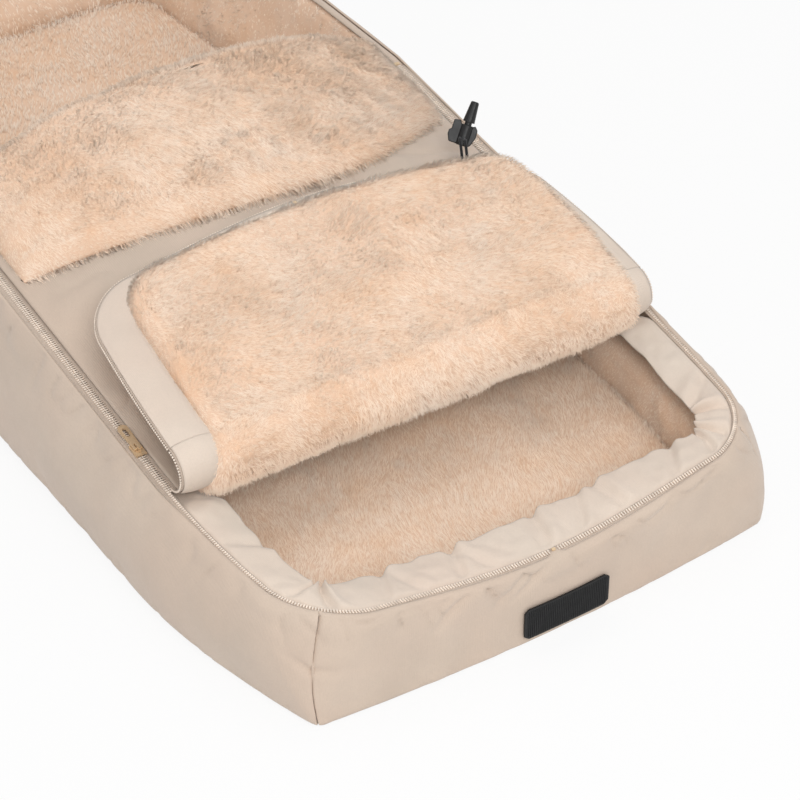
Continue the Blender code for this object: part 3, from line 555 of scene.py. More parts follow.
# How a blade of fur stands: what turns it, as shares, and what varies.
STAND_SHARE = 0.8
COMB_SHARE = 1.2
SWIRL_SHARE = 0.4
CLUMP_SHARE = 0.34
STRAY_SHARE = 0.24
LEAST_LIFT = 0.3
SWIRL_SIZE = 34
CLUMP_SIZE = 6
UNEVEN_SIZE = 12
UNEVEN_SHARE = 0.18
LENGTH_SHARES = (0.75, 1.1)
WIDTH_SHARES = (0.7, 1.25)
TWIST_SHARE = 0.35
LEAST_THICK_SHARE = 0.15
MIDDLE_SHARE = 0.55
MIDDLE_WIDE_SHARE = 0.8
DROOP_SHARE = 0.4
SINK_SHARE = 0.35
SHADE_CLUMP_SHARE = 0.14
SHADE_STRAY_SHARE = 0.25
SHADE_SWIRL_SHARE = 0.1
# Along a blade, 0 at its root and 1 at its tip. The sheet under the blades sits at SHEET_ALONG, so it takes
# part of the root colour, whose deep peach is partly painted shade.
BLADE_ALONG = (0.0, 0.0, 0.6, 0.6, 1.0)
SHEET_ALONG = 0.3
SHEET_TINT = 0.5


def fur_spots(mesh, per_area, chance, thick_at):
    """Random spots on a mesh, their normals, and the share of blades that grow there."""
    mesh.calc_loop_triangles()
    corners = read(mesh.loop_triangles, "vertices", kind=np.int32)
    places = get_places(mesh)
    normals = read(mesh.vertices, "normal").astype(float)
    a, b, c = (places[corners[:, i]] for i in range(3))
    area = np.linalg.norm(np.cross(b - a, c - a), axis=1) / 2
    weight = np.ones(len(corners))
    if thick_at is not None:
        weight = weight * thick_at((a + b + c) / 3, normals[corners].mean(1))
    area = area * weight
    number = int(per_area * area.sum())
    which = np.searchsorted(np.cumsum(area) / area.sum(), chance.random(number))
    which = np.clip(which, 0, len(corners) - 1)
    s, t = chance.random((2, number))
    over = s + t > 1
    s[over], t[over] = 1 - s[over], 1 - t[over]
    shares = np.stack([1 - s - t, s, t], 1)[:, :, None]
    root = (places[corners[which]] * shares).sum(1)
    return root, unit((normals[corners[which]] * shares).sum(1)), weight[which]


def fur_blades(root, up, weight, pile, seed, combed, wide, chance):
    """Five points of each blade, and the direction that shades it."""
    number = len(root)
    swirl = np.stack([drift(root, SWIRL_SIZE, seed + k) for k in (1, 2, 3)], 1)
    clump = np.stack([drift(root, CLUMP_SIZE, seed + k) for k in (2, 3, 4)], 1)
    stray = chance.normal(0, STRAY_SHARE, (number, 3))
    aim = up * STAND_SHARE + combed * COMB_SHARE + swirl * SWIRL_SHARE + clump * CLUMP_SHARE + stray
    aim = unit(aim)
    lift = (aim * up).sum(1)
    aim = unit(aim + up * np.clip(LEAST_LIFT - lift, 0, None)[:, None])
    uneven = 1 + UNEVEN_SHARE * drift(root, UNEVEN_SIZE, seed)
    long = pile * chance.uniform(*LENGTH_SHARES, number) * uneven
    long = long * (1 - END_TRIM_SHARE * up[:, 0] ** 2)
    side = unit(np.cross(aim, up) + TWIST_SHARE * chance.normal(0, 1, (number, 3)))
    thick = np.sqrt(np.clip(weight, LEAST_THICK_SHARE, 1))
    broad = wide * chance.uniform(*WIDTH_SHARES, number) / thick
    half = side * (broad / 2)[:, None]
    droop = (combed + swirl * SWIRL_SHARE - up * SINK_SHARE) * DROOP_SHARE
    start = root - up * MM
    middle = root + aim * (long * MIDDLE_SHARE)[:, None]
    inner = half * MIDDLE_WIDE_SHARE
    tip = root + (aim + droop) * long[:, None]
    blades = np.stack([start - half, start + half, middle + inner, middle - inner, tip], 1)
    normal = np.cross(blades[:, 1] - blades[:, 0], blades[:, 3] - blades[:, 0])
    wrong = (normal * up).sum(1) < 0
    blades[wrong] = blades[wrong][:, [1, 0, 3, 2, 4]]
    lit = up + clump * SHADE_CLUMP_SHARE + stray * SHADE_STRAY_SHARE + swirl * SHADE_SWIRL_SHARE
    lit[:, 2] = lit[:, 2] * (1 - UPWARD_SHARE) + UPWARD_SHARE
    return blades, unit(lit)


def grow_fur(thing, per_area, pile, seed, comb, comb_share, wide=BLADE, thick_at=None):
    """Covers a sheet with short curved blades whose shading follows the sheet, as plush does.

    thick_at gives, for places on the sheet and its normals there, the share of blades that grow.
    """
    mesh = thing.data
    chance = np.random.default_rng(seed)
    combed = np.array(comb, float)[None, :] * comb_share
    spots = fur_spots(mesh, per_area, chance, thick_at)
    blades, lit = fur_blades(*spots, pile, seed, combed, wide, chance)
    number = len(blades)
    tint = np.repeat(chance.random(number), 5)
    places = get_places(mesh)
    count = len(places)
    first = count + 5 * np.arange(number)[:, None]
    blade_loops = (first + np.array([[0, 1, 2, 3, 3, 2, 4]])).ravel()
    loops = np.concatenate([read(mesh.loops, "vertex_index", 1, np.int32), blade_loops])
    totals = np.concatenate([read(mesh.polygons, "loop_total", 1, np.int32), np.tile([4, 3], number)])
    made = bpy.data.meshes.new(thing.name)
    made.vertices.add(count + 5 * number)
    made.loops.add(len(loops))
    made.polygons.add(len(totals))
    write(made.vertices, "co", np.concatenate([places, blades.reshape(-1, 3)]))
    write(made.loops, "vertex_index", loops, np.int32)
    write(made.polygons, "loop_start", np.concatenate([[0], np.cumsum(totals)[:-1]]), np.int32)
    made.update(calc_edges=True)
    made.shade_smooth()
    mark(made, "along", np.concatenate([np.full(count, SHEET_ALONG), np.tile(BLADE_ALONG, number)]))
    mark(made, "tint", np.concatenate([np.full(count, SHEET_TINT), tint]))
    shading = np.concatenate([read(mesh.vertices, "normal").astype(float), np.repeat(lit, 5, axis=0)])
    made.normals_split_custom_set_from_vertices(shading.astype(np.float32))
    thing.data = made


# Materials.


class Value:
    """A number from a shader node, so that sums on it read as plain arithmetic."""

    def __init__(self, look, socket):
        self.look = look
        self.socket = socket

    def __add__(self, other):
        return self.look.maths("ADD", self, other)

    def __mul__(self, other):
        return self.look.maths("MULTIPLY", self, other)

    def __sub__(self, other):
        return self.look.maths("SUBTRACT", self, other)

    def __rsub__(self, other):
        return self.look.maths("SUBTRACT", other, self)

    def clamped(self):
        return self.look.node("ShaderNodeClamp", {}, self)


def linear(value):
    share = value / 255
    return share / 12.92 if share <= 0.04045 else ((share + 0.055) / 1.055) ** 2.4


def colour(tone, share=1.0, more=0):
    """A written tone, made lighter or darker by a share, as the shader wants it."""
    return (*[linear(channel * share + more) for channel in tone], 1)


class Nodes:
    """The node tree of a material or of the sky, and its last shader."""

    def __init__(self, owner, shader):
        self.made = owner
        self.made.use_nodes = True
        self.tree = self.made.node_tree
        self.shader = self.tree.nodes[shader]

    def give(self, socket, value):
        if isinstance(value, Value):
            self.tree.links.new(value.socket, socket)
        elif value is not None:
            socket.default_value = value

    def set(self, socket, value):
        self.give(self.shader.inputs[socket], value)

    def node(self, kind, settings=None, *values, out=0, **named):
        made = self.tree.nodes.new(kind)
        for key, value in (settings or {}).items():
            setattr(made, key, value)
        for socket, value in zip(made.inputs, values):
            self.give(socket, value)
        for key, value in named.items():
            self.give(made.inputs[key], value)
        return Value(self, made.outputs[out])

    def maths(self, operation, *values):
        return self.node("ShaderNodeMath", {"operation": operation}, *values)

    def rays(self, *kinds):
        """1 for rays of either kind, 0 for others."""
        outputs = self.node("ShaderNodeLightPath").socket.node.outputs
        return self.maths("MAXIMUM", *[Value(self, outputs[kind]) for kind in kinds])


class Look(Nodes):
    """A material with one Principled shader."""

    def __init__(self, name, roughness=0.7, metallic=0.0, sheen=0.0, specular=0.5):
        super().__init__(bpy.data.materials.new(name), "Principled BSDF")
        self.set("Roughness", roughness)
        self.set("Metallic", metallic)
        self.set("Sheen Weight", sheen)
        self.set("Sheen Roughness", 0.5)
        self.set("Specular IOR Level", specular)

    def places(self):
        return self.node("ShaderNodeTexCoord", out="Object")

    def attribute(self, name):
        return self.node("ShaderNodeAttribute", {"attribute_name": name}, out="Fac")

    def noise(self, size, detail=3.0, rough=0.6):
        named = {"Vector": self.places(), "Scale": 1 / size, "Detail": detail, "Roughness": rough}
        return self.node("ShaderNodeTexNoise", {}, **named)

    def mix(self, share, one, two):
        made = self.node("ShaderNodeMix", {"data_type": "RGBA"}, share, out=2)
        inputs = made.socket.node.inputs
        self.give(inputs[6], one)
        self.give(inputs[7], two)
        return made

    def bump(self, height):
        self.set("Normal", self.node("ShaderNodeBump", {}, Strength=1.0, Distance=1.0, Height=height))

    def stretched(self, low, high, value):
        return self.node("ShaderNodeMapRange", {}, value, low, high, 0.0, 1.0)

    def swap(self, share, kind, **values):
        """Shows another shader in place of the first, by a share."""
        other = self.node(kind, {}, **values)
        both = self.node("ShaderNodeMixShader", {}, share, Value(self, self.shader.outputs[0]), other)
        self.give(self.tree.nodes["Material Output"].inputs["Surface"], both)


WAVE_PERIOD = math.pi / 10
THREAD = 0.7 * MM
FACING_THREAD = 0.6 * MM
TAPE_THREAD = 0.8 * MM
CLOTH_CLOUDS = 60 * MM
CLOTH_WARMTH = 110 * MM
CLOTH_SLUBS = 1.6 * MM
CLOTH_CREASES = 9 * MM
FUR_CLOUDS = 75 * MM
FUR_PATCHES = 15 * MM
TAPE_SHADES = 1.1 * MM
RUBBED = 6 * MM
PITS = 0.5 * MM
WORN = 3 * MM
SCRATCHES = 0.7 * MM
WOVEN_ROUGH = 0.62
FACING_ROUGH = 0.7
CREASE_DEEP = 0.45 * MM
THREAD_DEEP = 0.12 * MM
SLUB_DEEP = 0.05 * MM
TAPE_DEEP = 0.15 * MM
SCRATCH_DEEP = 0.02 * MM
STRAND = 0.9 * MM
STRAND_DEEP = 0.2 * MM
COIL_GRAIN = 0.03 * MM
RUBBER_GRAIN = 0.04 * MM
PLASTIC_GRAIN = 0.02 * MM


def weave(look, thread):
    """Two crossed sets of threads, as bump height from 0 to 1."""
    named = {"Vector": look.places(), "Scale": WAVE_PERIOD / (2 * thread), "Distortion": 0.6, "Detail": 1.0}
    one, two = [look.node("ShaderNodeTexWave", {"bands_direction": way}, **named) for way in ("X", "Y")]
    return one * 0.5 + two * 0.5


def woven(name, tone, thread=THREAD, roughness=WOVEN_ROUGH):
    """Fine plain-woven cloth: threads, slubs, soft cloudiness and worn high spots."""
    look = Look(name, roughness, sheen=0.25, specular=0.3)
    cloud = look.stretched(0.35, 0.65, look.noise(CLOTH_CLOUDS))
    slub = look.noise(CLOTH_SLUBS, 2.0)
    warm = colour((tone[0], tone[1] * 0.97, tone[2] * 0.96))
    base = look.mix(cloud, colour(tone, 0.97), colour(tone, 1.015))
    base = look.mix(look.stretched(0.35, 0.7, look.noise(CLOTH_WARMTH, 2.0)) * 0.6, base, warm)
    base = look.mix(look.stretched(0.35, 0.7, slub) * 0.2, base, colour(tone, 0.92))
    look.set("Base Color", base)
    creases = look.noise(CLOTH_CREASES, 4.0, 0.55)
    look.set("Roughness", look.stretched(0.0, 1.0, slub) * 0.14 + (roughness - 0.07))
    look.bump(weave(look, thread) * THREAD_DEEP + creases * CREASE_DEEP + slub * SLUB_DEEP)
    return look.made


def furry(name, root, tone, tip):
    """Faux fur: peach roots, a cream body and paler tips, cloudy over the whole piece. The roots' deep
    peach, which the sheet under the blades also takes, is partly the fur's own colour and partly painted
    warm shade of the pile's depths.

    Shadow and diffuse rays mostly pass a blade, because a real one is thin and lets light through.
    """
    look = Look(name, 0.95, sheen=0.12, specular=0.05)
    along = look.attribute("along")
    tint = look.attribute("tint")
    cloud = look.stretched(0.35, 0.68, look.noise(FUR_CLOUDS, 2.0))
    patch = look.stretched(0.35, 0.7, look.noise(FUR_PATCHES, 2.0))
    warm = colour((tone[0] * 0.985, tone[1] * 0.945, tone[2] * 0.905))
    body = look.mix(cloud, colour(tone), warm)
    body = look.mix(patch * 0.35, body, colour(tip))
    # Roots and the sheet under the blades take the root colour: partly the fur's own peach, partly painted
    # shade deep in the pile.
    base = look.mix((along * 2).clamped(), colour(root), body)
    base = look.mix((along - 0.6).clamped() * 1.5, base, colour(tip))
    base = look.mix((tint - 0.86).clamped() * 2.2, base, colour(root))
    look.set("Base Color", base)
    outputs = look.node("ShaderNodeNewGeometry").socket.node.outputs
    side = 1 - Value(look, outputs["Backfacing"]) * 2
    normal = Value(look, outputs["Normal"])
    look.set("Normal", look.node("ShaderNodeVectorMath", {"operation": "SCALE"}, normal, Scale=side))
    through = look.rays("Is Shadow Ray", "Is Diffuse Ray") * HAIR_CLEAR_SHARE
    look.swap(through, "ShaderNodeBsdfTransparent")
    return look.made


def taped(name, tone):
    """Zip tape: a close herringbone weave."""
    look = Look(name, 0.7, sheen=0.2, specular=0.3)
    shade = look.stretched(0.3, 0.7, look.noise(TAPE_SHADES, 2.0))
    look.set("Base Color", look.mix(shade, colour(tone, 0.9), colour(tone)))
    look.bump(weave(look, TAPE_THREAD) * TAPE_DEEP)
    return look.made


def moulded(name, tone, roughness, grain):
    """Moulded plastic or rubber: slight pitting and rubbed patches."""
    look = Look(name, roughness)
    rub = look.noise(RUBBED, 4.0)
    share = look.stretched(0.35, 0.7, rub) * 0.5
    look.set("Base Color", look.mix(share, colour(tone), colour(tone, 1.25, 4)))
    look.set("Roughness", look.stretched(0.3, 0.75, rub) * 0.15 + (roughness - 0.06))
    look.bump(look.noise(PITS) * grain)
    return look.made


def plated(name, tone, roughness, metallic=1.0):
    """Plated die-cast metal: fine scratches, and edges worn duller."""
    look = Look(name, roughness, metallic)
    wear = look.noise(WORN, 5.0)
    look.set("Base Color", look.mix(look.stretched(0.4, 0.7, wear) * 0.5, colour(tone), colour(tone, 0.88)))
    look.set("Roughness", look.stretched(0.35, 0.75, wear) * 0.22 + (roughness - 0.05))
    look.bump(look.noise(SCRATCHES) * SCRATCH_DEEP)
    return look.made


def braided(name, tone):
    look = Look(name, 0.75, sheen=0.3, specular=0.3)
    strands = look.node("ShaderNodeTexVoronoi", {}, Vector=look.places(), Scale=1 / STRAND)
    # Lighter in the middle of each strand and darker between strands, where the bump sinks: a painted
    # highlight on the crests and painted shade in the grooves.
    look.set("Base Color", look.mix(strands, colour(tone, 1.4), colour(tone)))
    look.bump(strands * -STRAND_DEEP)
    return look.made


def make_looks():
    return {
        "shell": woven("beige shell fabric", (209, 191, 174)),
        "facing": woven("light beige facing", (224, 209, 194), FACING_THREAD, FACING_ROUGH),
        # The fur's first colour is its roots': partly its own peach, partly painted warm shade deep in the
        # pile.
        "fur": furry("peach cream fur", (212, 158, 118), (253, 226, 202), (255, 239, 222)),
        "tape": taped("zip tape", (204, 186, 170)),
        "coil": moulded("nylon zip coil", (226, 212, 198), 0.4, COIL_GRAIN),
        "metal": plated("pale gold plating", (236, 209, 172), 0.34, 0.6),
        "rubber": moulded("black rubber", (11, 11, 12), 0.6, RUBBER_GRAIN),
        "plastic": moulded("black plastic", (8, 8, 9), 0.42, PLASTIC_GRAIN),
        "cord": braided("black elastic cord", (24, 24, 26)),
        "steel": plated("spring steel", (176, 176, 182), 0.3),
    }


def dress(thing, looks, finish, body, stands_for=()):
    """Gives a thing its material, its body and the solids that it stands for."""
    thing.data.materials.clear()
    thing.data.materials.append(looks[finish])
    if body:
        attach(thing, body)
    if stands_for:
        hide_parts(*stands_for)
    return thing


def furred(looks, body, thing, fur, stands_for=()):
    """Makes a sheet into a padded piece with fur. fur holds what grow_fur asks for."""
    grow_fur(thing, *fur)
    return dress(thing, looks, "fur", body, stands_for)


# The tub's outside: where its creases and slack lie, how deep they are and how wide.

SEAM_PULL = 1.6 * MM
SEAM_PULL_SHARE = 0.006
CALM_WIDE = PATCH_HALF_WIDE + 14 * MM
CALM_TALL = PATCH_HALF_TALL + 10 * MM
FOOT_CREASE_Z = 57 * MM
FOOT_CREASE_FALL = 30 * MM
FOOT_CREASE_DEEP = 3 * MM
FOOT_CREASE_WIDE = 3.5 * MM
DRAWN_CREASES = ((0.3, 0.5, 3), (0.345, -0.7, 2.2), (0.43, 0.8, 2.4), (0.47, 0.9, 2.8))
DRAWN_WIDE_SHARE = 0.014
DRAWN_LOW_Z = 58 * MM
DRAWN_RISE = 30 * MM
DRAWN_END = 6 * MM
LEFT_CREASE_Z = 55 * MM
LEFT_CREASE_RISE = 150 * MM
LEFT_CREASE_DEEP = 4 * MM
LEFT_CREASE_WIDE = 4.5 * MM
GAPE_DEEP = 6 * MM
GAPE_TOP = 16 * MM
GAPE_FADE = 12 * MM
GATHER_LOW_Z = 62 * MM
GATHER_RISE = 34 * MM
GATHER_END = 3 * MM
GATHER_DEEP = 2.6 * MM
SLACK_Z = 86 * MM
SLACK_WIDE = 7 * MM
BASE_FOLD_DEEP = 1.4 * MM
BASE_FOLD_WIDE = 18 * MM
BASE_INSET = 5 * MM
BASE_LOW = 0.2 * MM
BASE_WAVE = 0.7 * MM
BASE_WAVE_SIZE = 50


def wall_roll(number, u):
    """How far a wall's cloth rolls in over the zip tape: least in the middle of the foot."""
    if number != 0:
        from_foot = u if number == 1 else 1 - u
        closed = smooth((from_foot - SLIDER_SHARE) / SLIDER_FADE_SHARE)
        return SIDE_ROLL + (CLOSED_ROLL - SIDE_ROLL) * closed
    ends = smooth(1 - 3 * np.minimum(u, 1 - u))
    roll = FOOT_ROLL + (SIDE_ROLL - FOOT_ROLL) * ends
    return roll + (END_ROLL - roll) * bell(u - 0.5, END_ROLL_SHARE)


def wall_profile(v, roll):
    """Inset and height of the outer cloth, from the base seam up and over to the zip seam."""
    shares = np.array([0, 0, 0, 0, 0, 0, 0.08, 0.3, 0.6, 0.86, 1])
    under = np.array([6, 1.6, 0.2, 0, 0, 0, 0, 0, 0, 0, 0]) * MM
    heights = np.array([0.4, 0.5, 3, 8, 50, 92, 97, 100.1, 101.6, 101.8, 101]) * MM
    widest = under + shares * SIDE_ROLL
    length = np.concatenate([[0], np.cumsum(np.hypot(np.diff(widest), np.diff(heights)))])
    at = v * length[-1]
    share = np.interp(at, length, shares)
    return np.interp(at, length, under) + share * roll, np.interp(at, length, heights)


def seam_pull(u):
    """How far the cloth is drawn in at the seams at both ends of a wall."""
    return SEAM_PULL * (bell(u, SEAM_PULL_SHARE) + bell(1 - u, SEAM_PULL_SHARE))


def calm_at_patch(x, z):
    """The foot wall lies flat behind the patch that is sewn to it."""
    across = (x - PATCH_X) / CALM_WIDE
    tall = (z - PATCH_Z) / CALM_TALL
    return 1 - np.exp(-(across**4) - tall**4)


def foot_crease(u, z):
    """A short soft crease across the foot wall beside its left seam, and some drawn from the zip."""
    line = (z - FOOT_CREASE_Z) + FOOT_CREASE_FALL * u
    beside_seam = FOOT_CREASE_DEEP * bell(line, FOOT_CREASE_WIDE) * smooth(u / 0.008) * bell(u, 0.1)
    drawn = 0
    for place, lean, deep in DRAWN_CREASES:
        off = u - place + lean * (RIM - z) * 2
        drawn = drawn + deep * MM * bell(off, DRAWN_WIDE_SHARE) * smooth((z - DRAWN_LOW_Z) / DRAWN_RISE)
    return beside_seam + drawn * smooth((RIM - z) / DRAWN_END)


def left_crease(u, z):
    """The same crease goes on round the corner along the left wall, and its foot corner gapes."""
    away = 1 - u
    line = (z - LEFT_CREASE_Z) - LEFT_CREASE_RISE * away
    crease = LEFT_CREASE_DEEP * bell(line, LEFT_CREASE_WIDE) * smooth(away / 0.004) * bell(away, 0.06)
    return crease + GAPE_DEEP * bell(away, DRAWN_WIDE_SHARE) * smooth((GAPE_TOP - z) / GAPE_FADE)


CREASES = {0: foot_crease, 3: left_crease}


def wall_waves(number, x, y, z):
    """How far the cloth stands out: soft waves, folds under the rim and at the base, some slack."""
    flat = stack(x, y, z)
    lean = stack(x + 0.5 * z, y + 0.5 * z, z)
    near_rim = smooth((z - GATHER_LOW_Z) / GATHER_RISE) * smooth((RIM + MM - z) / GATHER_END)
    wave = waves(flat, (2.4, (80, 80, 70), number), (1, (26, 26, 40), number + 1))
    wave = wave - GATHER_DEEP * near_rim * folds(lean, (17, 17, 90), number + 2)
    wave = wave + bell(z - SLACK_Z, SLACK_WIDE) * waves(flat, (1.6, (30, 30, 50), number + 4))
    wave = wave - BASE_FOLD_DEEP * bell(z, BASE_FOLD_WIDE) * folds(lean, (23, 23, 70), number + 3)
    return wave * calm_at_patch(x, z) if number == 0 else wave


def outer_wall(number):
    def place(u, v):
        u = 0.5 * u + 0.5 * spread(u)
        inset, z = wall_profile(v, wall_roll(number, u))
        corner = corner_at(z / RIM)
        wave = wall_waves(number, *wall_plan(number, u, inset, corner), z)
        free = smooth(v / 0.12) * smooth((1 - v) / 0.1)
        inset = inset - wave * free + seam_pull(u) * smooth(v / 0.05)
        if number in CREASES:
            inset = inset + CREASES[number](u, z)
        return bend(stack(*wall_plan(number, u, inset, corner), z))

    return place


def make_walls(looks):
    for number, side in enumerate(WALLS):
        place = outer_wall(number)
        wall = cloth(side + "_wall_cloth", place, (360 if number % 2 else 190, 44), FABRIC, outwards)
        dress(wall, looks, "shell", BODY, (side + "_wall",))
        sheet(wall, place)


def base_place(u, v):
    """The underside: the floor's outline, drawn as a disc stretched to the tub's plan."""
    x, y = ring_plan(u, BASE_INSET, CLOTH_CORNER)
    middle = (HEAD_Y + FOOT_Y) / 2
    x, y = x * v, middle + (y - middle) * v
    rise = BASE_WAVE * (1 + drift(stack(x, y, 0), BASE_WAVE_SIZE, 2)) * smooth((1 - v) / 0.2)
    return bend(stack(x, y, BASE_LOW + rise))


def make_base(looks):
    base = cloth("base_cloth", base_place, (200, 40), THIN_CLOTH, DOWN, closed=True)
    dress(base, looks, "shell", BODY, ("back_panel", "back_foam"))
    sheet(base, base_place)


# The ribbed patch.


def patch_place(u, v):
    x = PATCH_X + PATCH_HALF_WIDE * (2 * u - 1)
    ends = np.minimum(u, 1 - u) * 2 * PATCH_HALF_WIDE
    tall = PATCH_HALF_TALL - np.clip(PATCH_CHAMFER - ends, 0, None)
    z = PATCH_Z + tall * (2 * v - 1)
    edge = np.minimum(ends, np.minimum(v, 1 - v) * 2 * tall)
    ribbed = smooth((edge - PATCH_BORDER) / (0.5 * PATCH_BORDER))
    rib = np.abs(np.sin(HALF_TURN * PATCH_RIBS * u)) - 0.6
    out = PATCH_OUT + PATCH_BORDER_OUT * (1 - ribbed) + PATCH_RIB * rib * ribbed
    return bend(stack(x, FOOT_Y - out, z))


def make_patch(looks):
    patch = cloth("foot_patch_ribs", patch_place, (540, 36), PATCH_THICK, outwards)
    dress(patch, looks, "rubber", BODY, ("ribbed_patch",))


# The facing, gathered onto the body's half of the zip. Each pinch: its place as a share of the
# strip, its depth in mm and its lean.

FOOT_PINCHES = (
    (0.268, 2.4, 0.01), (0.307, 4.2, -0.015), (0.352, 2.2, 0.02), (0.385, 1.6, -0.01), (0.42, 3, 0.015),
    (0.452, 1.8, -0.02), (0.497, 3.4, 0.01), (0.53, 1.8, 0.02), (0.575, 2.6, -0.01), (0.625, 2.2, 0.015),
    (0.668, 3, 0.01), (0.697, 4.2, -0.005), (0.728, 4.4, 0.01), (0.77, 2.6, -0.02), (0.2, 2, 0.01),
)
FACING_LONG = 1060 * MM
DIVE_BEFORE = 22 * MM
DIVE_RUN = 26 * MM
DIVE_IN = 7 * MM
TUCK_DOWN = 7 * MM
FACING_UNDER = 1.2 * MM
FACING_LIFT = 1.6 * MM
FACING_FALL = 4.5 * MM
TUB_PUFF = 1.2 * MM


def pinches(u, reach):
    """Valleys with a raised lip, where the facing is caught short on the zip."""
    total = 0
    for place, deep, lean in FOOT_PINCHES:
        off = (u - place - lean * reach) * FACING_LONG
        lip = bell(off - 2 * PINCH, 1.4 * PINCH)
        total = total + deep * MM * (0.65 * lip - bell(off, PINCH))
    return total


def facing_place(u, v):
    """One strip from the left side round the foot to the right side."""
    side = np.where(u < 0.5, -1.0, 1.0)
    down = 1 - np.abs(2 * u - 1)

    def at_inset(inset):
        x, y = zip_plan(down, inset, FACING_END_Y, FACING_SIDE_SHARE, FACING_CORNER_SHARE)
        return -side * x, y

    dive = smooth((at_inset(FACING_LINE)[1] - FOLD_Y + DIVE_BEFORE) / DIVE_RUN)
    foot = smooth((down - FACING_SIDE_SHARE) / FACING_CORNER_SHARE)
    reach = np.clip(v / FACING_SEWN_SHARE, 0, 1)
    tuck = np.clip((v - FACING_SEWN_SHARE) / (1 - FACING_SEWN_SHARE), 0, 1)
    near = FACING_NEAR + (FOOT_FACING_NEAR - FACING_NEAR) * foot + DIVE_IN * dive
    line = near + (FACING_FAR - near) * reach
    at = stack(*at_inset(line), 0)
    pinch = pinches(u, reach) * (1 - dive)
    inset = line + (waves(at, (3, 38, 4), (1.2, 11, 2)) + 0.7 * pinch) * smooth(reach)
    x, y = at_inset(inset - FACING_TUCK * tuck**2)
    puff = TUB_PUFF * swell(reach, PUFF_POWER)
    z = RIM - FACING_UNDER + FACING_LIFT * smooth(reach / 0.1) + puff - FACING_FALL * reach**2
    z = z + (waves(at, (1.2, 26, 5), (0.8, 8, 3)) + pinch) * smooth(reach / 0.2)
    return bend(stack(x, y, z - TUCK_DOWN * tuck - FACING_DIVE * dive))


def make_facing(looks):
    strip = cloth("tub_facing_cloth", facing_place, (620, 30), FACING_CLOTH)
    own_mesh(strip)
    dress(strip, looks, "facing", BODY, ("facing_foot", "facing_left", "facing_right"))
    sheet(strip, facing_place)


# The zip.


def rail(near, far, top_y=ZIP_TOP_Y, opens=False):
    """The tape along the rim between two insets, a little crowned."""

    def place(u, v):
        x, y = zip_plan(u, near + (far - near) * v, top_y)
        crown = (TAPE_HIGH - TAPE_LOW) * np.sin(HALF_TURN * v)
        ripple = waves(stack(x, y, 0), (0.5, 20, 3))
        points = bend(stack(x, y, RIM + TAPE_LOW + crown + ripple * (1 - v)))
        return opened(points) if opens else points

    return place


def straight_rail(near, far, low, high):
    """The cover's tape or coil, from the zip's upper end to the fold."""

    def place(u, v):
        x = -(HALF_WIDTH - near - (far - near) * v)
        crown = (high - low) * np.sin(HALF_TURN * v)
        return bend(stack(x, ZIP_TOP_Y + (FOLD_Y - ZIP_TOP_Y) * u, RIM + low + crown))

    return place


def coil_rail(near, far, foot_near, foot_far, top_y=ZIP_TOP_Y, opens=False):
    """Where the coil's roots (v 0) and heads (v 1) run; it lies wider open round the foot."""

    def place(u, v):
        foot = smooth((u - ZIP_SIDE_SHARE + 0.1) / ZIP_CORNER_SHARE)
        out = near + (foot_near - near) * foot
        inner = far + (foot_far - far) * foot
        x, y = zip_plan(u, out + (inner - out) * v, top_y)
        points = bend(stack(x, y, RIM + COIL_UP))
        return opened(points) if opens else points

    return place


# One tooth, in shares of its length: the bar's reach and radius, and the steps of its fatter head.
BAR_SHARE = 0.55
BAR_RADIUS_SHARE = 0.32
HEAD_STEPS = ((0.22, 1.55), (0.15, 0.95), (0.08, 0.55))


def one_tooth():
    """One turn of nylon coil: a bar along x from the tape, ending in a fatter head. Unit size."""
    choose()
    bpy.ops.mesh.primitive_cylinder_add(
        vertices=6, radius=BAR_RADIUS_SHARE, depth=BAR_SHARE, location=(BAR_SHARE / 2, 0, 0),
        rotation=(0, HALF_TURN / 2, 0),
    )
    tooth = bpy.context.active_object
    bpy.ops.object.transform_apply(location=True, rotation=True, scale=True)
    for ahead, grow in HEAD_STEPS:
        mesh = tooth.data
        for part in (mesh.vertices, mesh.edges, mesh.polygons):
            part.foreach_set("select", np.zeros(len(part), bool))
        for face in mesh.polygons:
            face.select = face.normal.x > 0.9
        reach = max(point.co.x for point in mesh.vertices)
        bpy.ops.object.mode_set(mode="EDIT")
        bpy.ops.mesh.select_mode(type="FACE")
        bpy.ops.mesh.extrude_region_move(TRANSFORM_OT_translate={"value": (ahead, 0, 0)})
        bpy.ops.transform.resize(value=(1, grow, grow), center_override=(reach + ahead, 0, 0))
        bpy.ops.object.mode_set(mode="OBJECT")
    return tooth


def make_teeth(name, line, across, up):
    """Copies one tooth along a line. across points from the tape to the tooth's head, full size."""
    tooth = one_tooth()
    shape = get_places(tooth.data)
    faces = [tuple(face.vertices) for face in tooth.data.polygons]
    bpy.data.objects.remove(tooth)
    length = np.concatenate([[0], np.cumsum(np.linalg.norm(np.diff(line, axis=0), axis=1))])
    count = int(length[-1] / TOOTH_PITCH)
    at = (np.arange(count) + 0.5) * TOOTH_PITCH
    place, side, lift = (
        np.stack([np.interp(at, length, values[:, k]) for k in range(3)], 1) for values in (line, across, up)
    )
    ahead = unit(np.cross(lift, side))
    points = place[:, None, :] + side[:, None, :] * shape[None, :, 0:1]
    points = points + ahead[:, None, :] * (shape[None, :, 1:2] * TOOTH_WIDE)
    points = points + lift[:, None, :] * (shape[None, :, 2:3] * TOOTH_HIGH)
    size = len(shape)
    every = [tuple(index + size * k for index in face) for k in range(count) for face in faces]
    mesh = bpy.data.meshes.new(name)
    mesh.from_pydata(points.reshape(-1, 3).tolist(), [], every)
    mesh.update()
    thing = link(name, mesh)
    edit(thing, bpy.ops.mesh.normals_make_consistent, inside=False)
    mesh.shade_smooth()
    return thing


